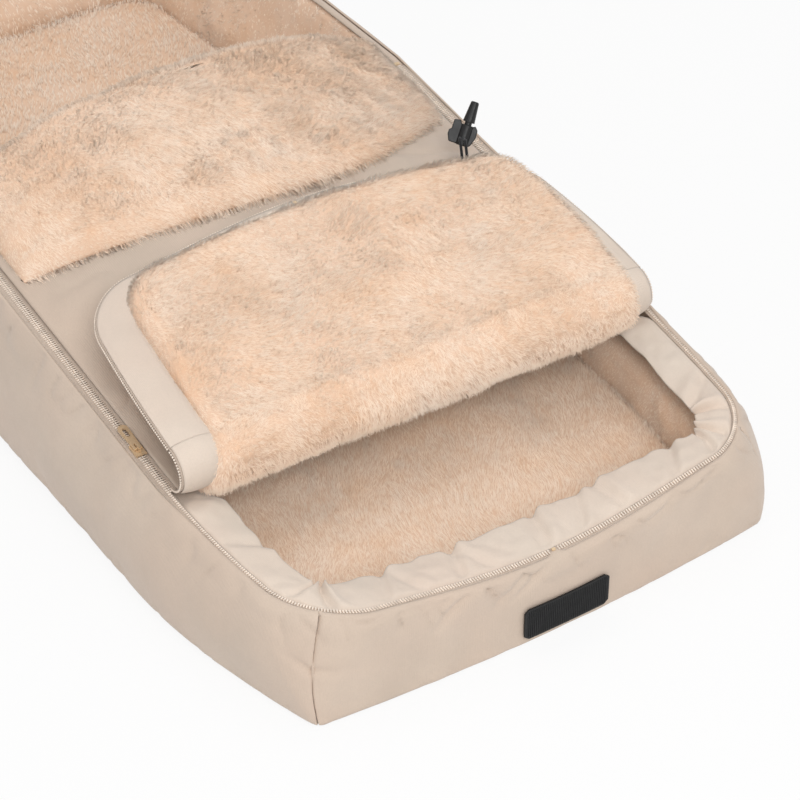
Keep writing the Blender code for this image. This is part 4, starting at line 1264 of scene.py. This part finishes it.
def coil_line(place, v_from, v_to, cells=400):
    """Root line of a coil, from a strip's place function, with the way to the heads and up."""
    u = np.linspace(0, 1, cells)
    near = place(u, np.full(cells, v_from))
    across = place(u, np.full(cells, v_to)) - near
    return near, across, unit(np.cross(across, np.gradient(near, axis=0)))


def coil(name, place, side, heads_in, looks, body, stands_for):
    """A zip half's coil."""
    place = side_of(place, side)
    if body == FLAP:
        place = skewed(place)
    near, across, up = coil_line(place, 0 if heads_in else 1, 1 if heads_in else 0)
    wanted = -1 if body == FLAP else 1
    turned = np.where(up[:, 2:3] * wanted < 0, -1, 1)
    dress(make_teeth(name, near, across, up * turned), looks, "coil", body, (stands_for,))


def tape_strip(name, place, cells, looks, body, stands_for):
    strip = cloth(name, place, (cells, 5), TAPE, UP, 0.0)
    dress(strip, looks, "tape", body, (stands_for,))
    sheet(strip, place)


def make_zip(looks):
    flap_top = FOLD_Y - FOLD_GAP
    for side, end in SIDES:
        tape = side_of(rail(TAPE_OUT, FOOT_COIL_IN + MM), side)
        tape_strip("body_tape_" + end, tape, 420, looks, BODY, "zip_tape_body_" + end)
        teeth = coil_rail(COIL_OUT, COIL_IN, FOOT_COIL_OUT, FOOT_COIL_IN)
        coil("body_coil_" + end, teeth, side, True, looks, BODY, "zip_coil_body_" + end)
        tape = side_of(straight_rail(OTHER_TAPE_OUT, OTHER_TAPE_IN, TAPE_LOW, TAPE_HIGH), side)
        tape_strip("cover_tape_" + end, tape, 200, looks, BODY, "zip_tape_cover_" + end)
        teeth = straight_rail(CLOSED_HEADS, OTHER_COIL_IN, COIL_UP, COIL_UP)
        coil("cover_coil_" + end, teeth, side, False, looks, BODY, "zip_coil_cover_" + end)
        tape = skewed(side_of(rail(OTHER_TAPE_OUT, OTHER_TAPE_IN, flap_top, True), side))
        tape_strip("flap_tape_" + end, tape, 260, looks, FLAP, "flap_zip_tape_" + end)
        teeth = coil_rail(OTHER_COIL_OUT, OTHER_COIL_IN, OTHER_COIL_OUT, OTHER_COIL_IN, flap_top, True)
        coil("flap_coil_" + end, teeth, side, False, looks, FLAP, "flap_zip_coil_" + end)


# The cover.

COVER_FOLD = 1.8 * MM
COVER_FADE = 14 * MM
COVER_SEAM = 0.6 * MM
COVER_SEAM_WIDE = 2.5 * MM
LINING_SHORT = 2 * MM


def cover_height(x, y):
    """The cover's top, with the slack folds that its padding leaves."""
    at = stack(x, y, 0)
    slack = waves(at, (2.4, 62, 1), (1.1, (24, 30, 1), 2)) - COVER_FOLD * folds(at, (46, 30, 1), 5)
    edge = smooth((HALF_WIDTH - SHELL_EDGE - np.abs(x)) / COVER_FADE)
    return RIM + SHELL_TOP + dome(x, y) + slack * edge


def cover_place(u, v):
    half = HALF_WIDTH - SHELL_EDGE
    x = half * (2 * u - 1)
    y = FOLD_Y + (TURN_Y - FOLD_Y) * v
    seam = COVER_SEAM * bell(half - np.abs(x), COVER_SEAM_WIDE)
    return bend(stack(x, y, cover_height(x, y) + seam))


def make_cover(looks):
    cover = cloth("cover_cloth", cover_place, (150, 120), THIN_CLOTH)
    dress(cover, looks, "shell", BODY, ("cover_shell", "cover_wadding"))
    sheet(cover, cover_place)


def lining_place(u, v):
    x = (HALF_WIDTH - LINING_EDGE) * (2 * u - 1)
    y = FOLD_Y + LINING_SHORT + (TURN_Y - FOLD_Y - LINING_SHORT) * v
    sag = waves(stack(x, y, 0), (2, 30, 4))
    return bend(stack(x, y, RIM + SHELL_TOP + dome(x, y) - LINING_DEEP + sag))


def underneath(at, up):
    """Fur only on a sheet's lower face."""
    return up[:, 2] < 0


def make_cover_lining(looks):
    lining = cloth("cover_fur", lining_place, (60, 50), LINING_THICK, DOWN)
    fur = (HIDDEN_DENSE, PILE, 21, (0, 0, -0.2), 0.5, WIDE_BLADE, underneath)
    furred(looks, BODY, lining, fur, ("cover_fur_lining",))


# The fur inside the tub.

MAT_PILE = PILE - MM
MAT_SETTLED = 3 * MM
BOLSTER_LINE = 20 * MM
BOLSTER_HIGH_Y = -190 * MM
BOLSTER_FADE = 60 * MM


def mat_place(u, v):
    """The fur mat on the floor: its middle, and a rim that dips into the groove round it."""
    x, y = ring_plan(u, MAT_INSET, RIM_CORNER)
    middle = (HEAD_Y + FOOT_Y) / 2
    out = v * (1 + UNDER_SHARE)
    reach = np.minimum(out, 1)
    x, y = x * reach, middle + (y - middle) * reach
    away = np.maximum(out - 1, 0) / UNDER_SHARE
    crown = MAT_CROWN * (1 - (np.abs(x) / (HALF_WIDTH - MAT_INSET)) ** 4)
    soft = waves(stack(x, y, 0), (2.4, 60, 2), (0.8, 18, 3))
    edge = smooth((1 - reach) / UNDER_SHARE)
    z = MAT_TOP - MAT_SETTLED - MAT_DIP * (1 - edge) ** 2 - MAT_DIP * away + (crown + soft) * edge
    return bend(stack(x, y, z))


def open_foot(at, up):
    """Thick fur where the opened flap shows it, thinner where only the wearer would see it."""
    return THIN_SHARE + (1 - THIN_SHARE) * smooth((SHOWN_Y - at[:, 1]) / SHOWN_FADE)


def make_mat(looks):
    mat = cloth("floor_mat_fur", mat_place, (360, 90), closed=True)
    fur = (MAT_DENSE, MAT_PILE, 31, (0.25, 0.7, 0), 0.9, BLADE, open_foot)
    furred(looks, BODY, mat, fur, ("fur_floor_mat",))


def bolster_profile(v, head_share):
    """Inset and height of the fur along a wall, from the floor's groove up to the facing or rim."""
    low_in = np.array([49, 53, 55, 53, 49, 43, 34, 24, 14]) * MM
    low_z = np.array([14, 26, 38, 50, 60, 68, 73, 76, 77]) * MM
    high_in = np.array([49, 54, 56, 52, 42, 32, 24, 16, 6]) * MM
    high_z = np.array([14, 26, 38, 52, 66, 78, 88, 96, 99]) * MM
    stops = np.linspace(0, 1, len(low_in))
    pairs = ((low_in, high_in), (low_z, high_z))
    lines = [(np.interp(v, stops, low), np.interp(v, stops, high)) for low, high in pairs]
    return [low + (high - low) * head_share for low, high in lines]


def bolster_place(number):
    def place(u, v):
        y = wall_plan(number, u, BOLSTER_LINE, RIM_CORNER)[1]
        inset, z = bolster_profile(v, smooth((y - BOLSTER_HIGH_Y) / BOLSTER_FADE))
        at = stack(*wall_plan(number, u, inset, RIM_CORNER), z)
        soft = waves(at, (2.6, 34, number), (1.2, 13, number + 1))
        inset = inset + soft * smooth(v / 0.2) * smooth((1 - v) / 0.12)
        return bend(stack(*wall_plan(number, u, inset, RIM_CORNER), z))

    return place


def make_bolsters(looks):
    for number, side in enumerate(WALLS):
        cells = (300 if number % 2 else 150, 30)
        roll = cloth(side + "_inner_fur", bolster_place(number), cells, aim=inwards)
        fur = (BOLSTER_DENSE, PILE, 41 + number, (0, -0.4, -0.6), 0.6, BLADE, open_foot)
        furred(looks, BODY, roll, fur, (side + "_fur_bolster", side + "_wall_wadding"))


# The foot flap.

FREE_OF_FOLD = 2 * MM
FREE_RUN = 22 * MM
FLAP_FACING_UNDER = 0.5 * MM
SEWN_LIFT = 1.2 * MM
SEWN_WIDE_SHARE = 0.03
PUCKER = 1.8 * MM
SQUASH_FROM_FOLD = 80 * MM


def flap_rise(x, y):
    along = np.clip((FOLD_Y - y) / (FOLD_Y - FOOT_Y), 0, 1)
    across = 1 - np.clip(np.abs(x) / (HALF_WIDTH - SHELL_EDGE), 0, 1) ** 2
    return FLAP_CROWN * across * np.sin(HALF_TURN * along)


def flap_shell_place(u, v):
    cx, cy, radius = plan_corner(0, SHELL_EDGE, RIM_CORNER)
    x = (2 * spread(u) - 1) * (HALF_WIDTH - SHELL_EDGE)
    over = np.maximum(np.abs(x) - np.abs(cx), 0)
    end_y = cy - np.sqrt(np.maximum(radius**2 - over**2, 0))
    start_y = FOLD_Y - FOLD_GAP
    y = start_y + (end_y - start_y) * v
    slack = waves(stack(x, y, 0), (1.2, 40, 3))
    return opened(bend(stack(x, y, RIM + SHELL_TOP + flap_rise(x, y) + slack)))


def flap_facing_place(u, v):
    """The facing that lies over the flap's zip tape; its inner edge is sewn under the fur."""
    inset = FLAP_FACING_NEAR + (FLAP_FACING_FAR - FLAP_FACING_NEAR) * v
    x, y = zip_plan(u, inset, FOLD_Y - FOLD_GAP, FLAP_ZIP_SHARE)
    at = stack(x, y, 0)
    clear_of_fold = smooth((FOLD_Y - FREE_OF_FOLD - y) / FREE_RUN)
    wave = waves(at, (1, 26, 2)) * smooth(v / 0.15) * clear_of_fold
    puff = FACING_PUFF * swell(v / FACING_SEWN_SHARE, PUFF_POWER)
    sewn = SEWN_LIFT * bell(v - FACING_SEWN_SHARE, SEWN_WIDE_SHARE) * clear_of_fold
    pucker = PUCKER * folds(at, 7, 3, 1) * smooth((v - FACING_SEWN_SHARE) / 0.1)
    return opened(bend(stack(x, y, RIM - FLAP_FACING_UNDER - puff + wave + sewn - pucker)))


def flap_fur_place(u, v):
    """The flap's fur: thin at its free edge, fullest in the middle, rounded at both sides."""
    left = -(HALF_WIDTH - FLAP_FUR_SIDE)
    out = v * (1 + UNDER_SHARE)
    along = np.clip(out, 0, 1)
    right = HALF_WIDTH - FLAP_FUR_RIGHT + FLAP_FUR_SPREAD * smooth(along)
    x = left + (right - left) * spread(u)
    ends = np.minimum(x - left, right - x)
    over = np.clip(FLAP_FUR_CORNER - ends, 0, None)
    end_y = FOOT_Y + FLAP_FUR_FRONT + FLAP_FUR_CORNER
    end_y = end_y - np.sqrt(np.clip(FLAP_FUR_CORNER**2 - over**2, 0, None))
    y = FOLD_Y + (end_y - FOLD_Y) * along
    soft = waves(stack(x, y, 0), (2, 45, 3), (1.1, 15, 5))
    more = MIDDLE_FUR_DEEP + THIN_FUR - FOLD_FUR_DEEP
    full = FOLD_FUR_DEEP - THIN_FUR + more * smooth(along / 0.45) + soft
    edges = rounded(ends, PAD_ROUND) * rounded(y - end_y, PAD_ROUND)
    under = np.clip((out - 1) / UNDER_SHARE, 0, 1)
    depth = THIN_FUR + (full - THIN_FUR) * edges - THIN_FUR * under
    rise = flap_rise(x, y) * smooth((y - end_y) / FREE_RUN)
    return opened(bend(stack(x, y, RIM + SHELL_TOP + rise - depth)))


def make_flap(looks):
    place = skewed(flap_shell_place)
    shell = cloth("flap_cloth", place, (110, 60), THIN_CLOTH, DOWN)
    dress(shell, looks, "shell", FLAP, ("flap_shell", "flap_wadding"))
    sheet(shell, place)
    for side, end in SIDES:
        place = skewed(side_of(flap_facing_place, side))
        strip = cloth("flap_facing_cloth_" + end, place, (260, 34), FACING_CLOTH)
        dress(strip, looks, "facing", FLAP, ("flap_facing_" + end,))
        sheet(strip, place)
    fur = cloth("flap_fur", skewed(flap_fur_place), (150, 90))
    grow_fur(fur, FLAP_DENSE, PILE, 51, (0.35, -0.6, 0), 0.75)
    anchor = opened(bend(stack(0.0, FOLD_Y - SQUASH_FROM_FOLD, RIM + SHELL_TOP)))
    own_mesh(fur)
    dress(fur, looks, "fur", FLAP, ("flap_fur_lining",))


# The fold that joins the cover to the flap.

FOLD_INNER = float(FOLD_Z - rim_height(HALF_WIDTH, FOLD_Y) - SHELL_TOP)
FOLD_WAVE_RING = 60 * MM
FOLD_CORE = 2.5 * MM
FOLD_FUR_FULL = FOLD_FUR_DEEP - 4.5 * MM
FOLD_CLOTH_HALF = HALF_WIDTH - SHELL_EDGE - 2 * MM


def on_fold(x, radius, angle):
    bent = bend(stack(x, FOLD_Y, RIM))
    return stack(bent[..., 0], FOLD_Y + radius * np.cos(angle), FOLD_Z + radius * np.sin(angle))


def fold_angle(v):
    return math.radians(270) - FLAP_OPEN * v


def fold_fur_place(u, v):
    """A half roll of fur about the fold's axis, with rounded ends."""
    left = FOLD_FUR_LEFT + (FOLD_FUR_LEFT_TOP - FOLD_FUR_LEFT) * smooth(v)
    x = left + (FOLD_FUR_RIGHT - left) * u
    ends = np.minimum(x - left, FOLD_FUR_RIGHT - x)
    angle = fold_angle(1.06 * v - 0.02)
    at = stack(x, FOLD_WAVE_RING * np.cos(angle), FOLD_WAVE_RING * np.sin(angle))
    full = FOLD_FUR_FULL + waves(at, (1.8, 40, 3), (0.9, 14, 5))
    return on_fold(x, FOLD_INNER + FOLD_CORE + full * rounded(ends, FOLD_FUR_ROUND), angle)


def fold_cloth_place(u, v):
    return on_fold(FOLD_CLOTH_HALF * (2 * u - 1), FOLD_INNER, fold_angle(v))


def fold_facing_place(u, v):
    """The facing's strip that wraps round one end of the fold."""
    inset = FLAP_FACING_NEAR + (FLAP_FACING_FAR - FLAP_FACING_NEAR) * v
    puff = FACING_PUFF * swell(v / FACING_SEWN_SHARE, PUFF_POWER)
    radius = FOLD_INNER + SHELL_TOP + FLAP_FACING_UNDER + puff
    return on_fold(-(HALF_WIDTH - inset), radius, fold_angle(1.02 * u - 0.02))


def fold_rail(near, far, height):
    """The zip's tape or coil where it goes round the fold's end."""

    def place(u, v):
        x = -(HALF_WIDTH - near - (far - near) * v)
        return on_fold(x, FOLD_INNER + SHELL_TOP - height, fold_angle(u))

    return place


def fold_over(thing):
    """Bakes a piece's place into its mesh, at the fold between the body and the flap."""
    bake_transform(thing)


def make_fold(looks):
    fur = cloth("fold_fur_roll", skewed(fold_fur_place), (170, 70), aim=off_fold)
    pile = (FLAP_DENSE, PILE, 61, (0.1, 0.1, -0.5), 0.6)
    furred(looks, None, fur, pile, ("fold_fur", "fold_wadding"))
    fold_over(fur)
    place = skewed(fold_cloth_place)
    shell = cloth("fold_cloth", place, (80, 30), THIN_CLOTH, off_fold, 1.0)
    dress(shell, looks, "shell", None, ("fold_shell",))
    fold_over(sheet(shell, place))
    for side, end in SIDES:
        place = skewed(side_of(fold_facing_place, side))
        strip = cloth("fold_facing_cloth_" + end, place, (60, 24), FACING_CLOTH, off_fold)
        dress(strip, looks, "facing", None)
        fold_over(sheet(strip, place))
        place = skewed(side_of(fold_rail(OTHER_TAPE_OUT, OTHER_TAPE_IN, TAPE_HIGH), side))
        tape = cloth("fold_tape_" + end, place, (60, 5), TAPE, off_fold, 0.0)
        dress(tape, looks, "tape", None)
        fold_over(sheet(tape, place))
        place = skewed(side_of(fold_rail(OTHER_COIL_OUT, OTHER_COIL_IN, COIL_UP), side))
        teeth = make_teeth("fold_coil_" + end, *coil_line(place, 1, 0, 60))
        fold_over(dress(teeth, looks, "coil", None))


# The turned-down upper end.

SHELL_INSET = 2 * MM
TURN_UNDER_IN = 7 * MM
TURN_UNDER_DOWN = 2 * MM
ROLL_WAVE_RING = 30 * MM


def turn_edge(x):
    left = np.clip((TURN_EDGE_X - x) / (TURN_EDGE_X - TURN_LEFT), 0, 1)
    right = np.clip((x - TURN_EDGE_X) / (TURN_RIGHT - TURN_EDGE_X), 0, 1)
    return TURN_EDGE_Y + TURN_LEFT_SKEW * left**2 + TURN_RIGHT_SKEW * right**2


def turn_height(x, y):
    return RIM + SHELL_TOP + dome(x, y) + TURN_LIFT


def turn_shell_place(u, v):
    x = TURN_LEFT + SHELL_INSET + (TURN_RIGHT - TURN_LEFT - 2 * SHELL_INSET) * u
    edge = turn_edge(x) + 2 * SHELL_INSET
    y = edge + (TURN_Y - edge) * v
    return bend(stack(x, y, turn_height(x, y) + MM))


def turn_fur_place(u, v):
    """The turned-down fur: thick, with a fat rounded free edge and ends."""
    x = TURN_LEFT + (TURN_RIGHT - TURN_LEFT) * spread(u)
    edge = turn_edge(x)
    under = np.clip((0.1 - v) / 0.1, 0, 1)
    reach = np.clip((v - 0.1) / 0.9, 0, 1) ** 1.3
    y = edge + TURN_UNDER_IN * under + (TURN_Y - edge) * reach
    ends = np.minimum(x - TURN_LEFT, TURN_RIGHT - x)
    full = rounded(y - edge, PAD_ROUND) * rounded(ends, PAD_ROUND)
    soft = waves(stack(x, y, 0), (2.6, 40, 1), (1.2, 15, 2))
    high = TURN_FUR_SPACE + (TURN_FUR_DEEP - MM + soft) * full
    high = np.where(under > 0, TURN_FUR_SPACE - TURN_UNDER_DOWN * under, high)
    return bend(stack(x, y, turn_height(x, y) + high))


def roll_place(x_from, x_to):
    def place(u, v):
        x = x_from + (x_to - x_from) * u
        angle = HALF_TURN * (1.06 * v - 0.53)
        ends = np.minimum(x - TURN_LEFT, TURN_RIGHT - x)
        middle = bend(stack(x, TURN_Y, turn_height(x, TURN_Y) - TURN_LIFT / 2))
        at = stack(x, ROLL_WAVE_RING * np.cos(angle), ROLL_WAVE_RING * np.sin(angle))
        soft = waves(at, (2.2, 40, 1), (1, 15, 2))
        radius = ROLL_CORE + (TURN_FUR_DEEP - MM + soft) * rounded(ends, PAD_ROUND)
        return middle + stack(0, radius * np.cos(angle), radius * np.sin(angle))

    return place


def turn_over(roll, one, two):
    """Bakes a length of the roll, between the body and the turned-down end, into its mesh."""
    low, high = [turn_height(x, TURN_Y) + rim_height(x, TURN_Y) - RIM for x in (one, two)]
    up = Vector(((low - high) / (two - one), 0, 1)).normalized()
    middle = Vector(((one + two) / 2, TURN_Y, (low + high) / 2))
    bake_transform(roll)


def make_turn_down(looks):
    shell = cloth("turn_down_cloth", turn_shell_place, (90, 40), THIN_CLOTH, DOWN)
    dress(shell, looks, "shell", TURN, ("turn_down_shell",))
    sheet(shell, turn_shell_place)
    fur = cloth("turn_down_fur_side", turn_fur_place, (190, 90))
    pile = (TURN_DENSE, PILE + MM, 71, (0.2, -0.7, 0), 0.8)
    furred(looks, TURN, fur, pile, ("turn_down_fur",))
    for number, ends in enumerate(zip(TURN_STOPS, TURN_STOPS[1:])):
        roll = cloth(f"turn_roll_fur_{number + 1}", roll_place(*ends), (44, 40), aim=off_turn)
        pile = (ROLL_DENSE, PILE, 75 + number, (0, 0.2, -0.3), 0.6)
        furred(looks, None, roll, pile, () if number else ("turn_roll_fur", "turn_roll_shell"))
        turn_over(roll, *ends)


# The head end's hem: a half tube over the rim, its middle's inset, its half width and height.

HEM_INSET = 8.6 * MM
HEM_HALF = 3.6 * MM
HEM_LOW = 0.8 * MM
HEM_HIGH = 2.4 * MM


def hem_place(number, share_from, share_to):
    def place(u, v):
        along = share_from + (share_to - share_from) * u
        angle = HALF_TURN * (1 - v)
        x, y = wall_plan(number, along, HEM_INSET + HEM_HALF * np.cos(angle), RIM_CORNER)
        return bend(stack(x, y, RIM - HEM_LOW + HEM_HIGH * np.sin(angle)))

    return place


def make_hems(looks):
    """A folded hem closes the rim from the upper end of one zip round the head to the other."""
    straight = HEAD_Y - HEAD_CORNER - (FOOT_Y + RIM_CORNER)
    share = (ZIP_TOP_Y - (FOOT_Y + RIM_CORNER)) / straight
    at_zip = WALL_ARC_SHARE + (1 - 2 * WALL_ARC_SHARE) * share
    for number, *run in ((1, at_zip, 1.0), (2, 0.0, 1.0), (3, 0.0, 1 - at_zip)):
        place = hem_place(number, *run)
        hem = cloth(WALLS[number] + "_hem", place, (160, 10), HEM_CLOTH)
        dress(hem, looks, "shell", BODY)
        sheet(hem, place)


# The hard pieces.


def finish_hard(looks):
    """The solids whose shape is right keep it, with their own finish."""
    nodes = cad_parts
    finishes = {
        "metal": [n for n in nodes if n.startswith(("slider_", "pull_", "zip_top", "zip_foot"))],
        "plastic": ["cord_lock_plunger", "drawcord_eyelet"],
        "steel": ["cord_lock_spring"],
    }
    for look, names in finishes.items():
        for held in itertools.chain(*[nodes[name].material_slots for name in names]):
            held.link = "OBJECT"
            held.material = looks[look]


# The cord lock and the drawcord, on the route that the solids give it.

LOCK_SIDE = 64 * MM
LOCK_BASE = Vector((HALF_WIDTH - LOCK_SIDE, -116 * MM, 152 * MM))
LOCK_AXIS = Vector((0.56, 0.28, 0.78)).normalized()
LOCK_FACING = Vector((0.436, 0.656, -0.616)).normalized()
LOCK_TALL = 17 * MM
LOCK_SLEEVE = 5.3 * MM
LOCK_THICK = 4.4 * MM
LOCK_EDGE = 0.7 * MM
LOCK_OUTLINE = ((-11, 0.5), (-13.4, 6), (-13.4, 9.5), (-11.6, 11), (-11.6, 18.5), (-6.3, 19.6), (-5, 17),
                (5, 17), (6.3, 18), (9, 15), (9.4, 9), (7, 2), (5, 0))
CORD = 2.4 * MM
CORD_APART = 4.4 * MM
CORD_LOOP_HALF = 4.8 * MM
CORD_FRONT = 9 * MM
CORD_BACK = 7 * MM
CORD_LOOP_LONG = 10 * MM
CORD_RISE = 8 * MM
LOCK_HOLE = 3.7 * MM
EYELET_SIDE = 61 * MM
EYELET_X = HALF_WIDTH - EYELET_SIDE
EYELET_Y = -128 * MM
EYELET_OUT = 6.5 * MM
EYELET_SPACE = 0.5 * MM
CORD_STEPS = 6


def lock_frame():
    up = LOCK_AXIS
    away = (LOCK_FACING - up * LOCK_FACING.dot(up)).normalized()
    turned = Matrix((away.cross(up), away, up)).transposed().to_4x4()
    return Matrix.Translation(LOCK_BASE) @ turned


def lock_wings():
    """The flat wings beside the lock's sleeve, which fingers hold while they press the plunger."""
    choose()
    bpy.ops.mesh.primitive_circle_add(vertices=len(LOCK_OUTLINE), radius=1, fill_type="NGON")
    wings = bpy.context.active_object
    set_places(wings.data, [(x * MM, LOCK_THICK / 2, z * MM) for x, z in LOCK_OUTLINE])
    turn_to(wings.data, (0, 1, 0))
    thicken(wings, LOCK_THICK)
    return wings


def make_lock(looks):
    wings = lock_wings()
    bpy.ops.mesh.primitive_cylinder_add(
        vertices=28, radius=LOCK_SLEEVE, depth=LOCK_TALL, location=(0, 0, LOCK_TALL / 2)
    )
    sleeve = bpy.context.active_object
    bpy.ops.object.transform_apply(location=True, rotation=True, scale=True)
    for thing in (wings, sleeve):
        edge = thing.modifiers.new("soft edge", "BEVEL")
        edge.width = LOCK_EDGE
        edge.segments = 3
        apply_all(thing)
    choose(wings, sleeve)
    bpy.ops.object.join()
    wings.name = "cord_lock_case"
    wings.data.transform(lock_frame())
    wings.data.shade_flat()
    return dress(wings, looks, "plastic", BODY, ("cord_lock_body",))


def cover_point(x, y, above=0.0):
    plain = np.array([x, y, RIM + SHELL_TOP + float(dome(x, y)) + above])
    return Vector(bend(plain))


def cord_route():
    """From the eyelet up through the lock, round a short loop, and back again."""
    held = lock_frame()
    step = EYELET_OUT
    one = cover_point(EYELET_X + step, EYELET_Y) - cover_point(EYELET_X - step, EYELET_Y)
    two = cover_point(EYELET_X, EYELET_Y + step) - cover_point(EYELET_X, EYELET_Y - step)
    up = one.cross(two).normalized()
    leave = cover_point(EYELET_X, EYELET_Y, EYELET_SPACE)
    side = held.to_3x3() @ Vector((1, 0, 0))

    def leg(sign):
        half = sign * CORD_APART / 2
        inside = [(half, away) for away in (-CORD_FRONT, 0, CORD_BACK)]
        inside.append((sign * CORD_LOOP_HALF, CORD_BACK + CORD_LOOP_LONG / 2))
        outside = [leave + side * half, leave + side * half + up * CORD_RISE]
        return outside + [held @ Vector((x, y, LOCK_HOLE)) for x, y in inside]

    end = held @ Vector((0, CORD_BACK + CORD_LOOP_LONG, LOCK_HOLE))
    return smooth_route([*leg(1), end, *reversed(leg(-1))])


def smooth_route(stops):
    """A curve through all the stops."""
    ends = [2 * stops[0] - stops[1], *stops, 2 * stops[-1] - stops[-2]]
    points = []
    for a, b, c, d in zip(ends, ends[1:], ends[2:], ends[3:]):
        for i in range(CORD_STEPS):
            t = i / CORD_STEPS
            part = 2 * b + (c - a) * t + (2 * a - 5 * b + 4 * c - d) * t**2
            points.append((part + (3 * b - a - 3 * c + d) * t**3) / 2)
    return [*points, stops[-1]]


def make_cord(looks, case):
    route = cord_route()
    curve = bpy.data.curves.new("drawcord_braid", "CURVE")
    curve.dimensions = "3D"
    curve.bevel_depth = CORD / 2
    curve.bevel_resolution = 3
    curve.use_fill_caps = True
    spline = curve.splines.new("POLY")
    spline.points.add(len(route) - 1)
    for point, place in zip(spline.points, route):
        point.co = (*place, 1)
    thing = link("drawcord_braid", curve)
    long = sum((b - a).length for a, b in zip(route, route[1:]))
    dress(thing, looks, "cord", BODY, ("drawcord",))


# Floor, light and camera.

CAMERA_PLACE = (-0.919, -1.666, 1.374)
CAMERA_AIM = (0.436, 0.656, -0.616)
LENS = 126
SENSOR = 36
CLIP_NEAR = 0.05
CLIP_FAR = 50
FLOOR_SIZE = 12
FLOOR_TONE = 0.86
SKY_LEVEL = 0.63
WHITE = (1, 1, 1, 1)
LAMPS = (
    ("key", (-0.6, -1.9, 1.9), (0, -0.25, 0.1), 1.5, 28),
    ("side", (-2.2, 0.4, 1.2), (0, -0.2, 0.1), 1.6, 2),
    ("top", (0.5, 0.3, 2.4), (0, -0.1, 0.1), 1.6, 6),
)


def make_floor():
    choose()
    bpy.ops.mesh.primitive_plane_add(size=FLOOR_SIZE, location=(0, 0, 0))
    floor = bpy.context.active_object
    floor.name = "floor"
    look = Look("pale floor", 0.9, specular=0.1)
    look.set("Base Color", (FLOOR_TONE, FLOOR_TONE, FLOOR_TONE, 1))
    seen = look.rays("Is Camera Ray", "Is Glossy Ray") * FLOOR_TONE
    look.swap(seen, "ShaderNodeEmission", Color=WHITE, Strength=1.0)
    floor.data.materials.append(look.made)


def make_sky():
    world = bpy.data.worlds.new("studio")
    bpy.context.scene.world = world
    sky = Nodes(world, "Background")
    seen = sky.rays("Is Camera Ray", "Is Transmission Ray")
    sky.set("Color", WHITE)
    sky.set("Strength", sky.node("ShaderNodeMix", {}, seen, None, SKY_LEVEL, 1.0))


def lamp(name, place, target, size, power):
    data = bpy.data.lights.new(name, "AREA")
    data.shape = "DISK"
    data.size = size
    data.energy = power
    thing = link(name, data)
    thing.location = place
    thing.rotation_euler = (Vector(target) - Vector(place)).to_track_quat("-Z", "Y").to_euler()


def make_camera():
    data = bpy.data.cameras.new("camera")
    data.lens = LENS
    data.sensor_width = SENSOR
    data.clip_start = CLIP_NEAR
    data.clip_end = CLIP_FAR
    thing = link("camera", data)
    thing.location = CAMERA_PLACE
    thing.rotation_euler = Vector(CAMERA_AIM).to_track_quat("-Z", "Y").to_euler()
    bpy.context.scene.camera = thing


def main():
    bpy.context.scene.view_settings.view_transform = "Standard"
    make_camera()
    make_floor()
    make_sky()
    for values in LAMPS:
        lamp(*values)
    looks = make_looks()
    make_cord(looks, make_lock(looks))
    make_mat(looks)
    make_bolsters(looks)
    make_base(looks)
    make_walls(looks)
    make_patch(looks)
    make_facing(looks)
    make_zip(looks)
    make_cover_lining(looks)
    make_cover(looks)
    make_flap(looks)
    make_fold(looks)
    make_turn_down(looks)
    make_hems(looks)
    finish_hard(looks)


main()
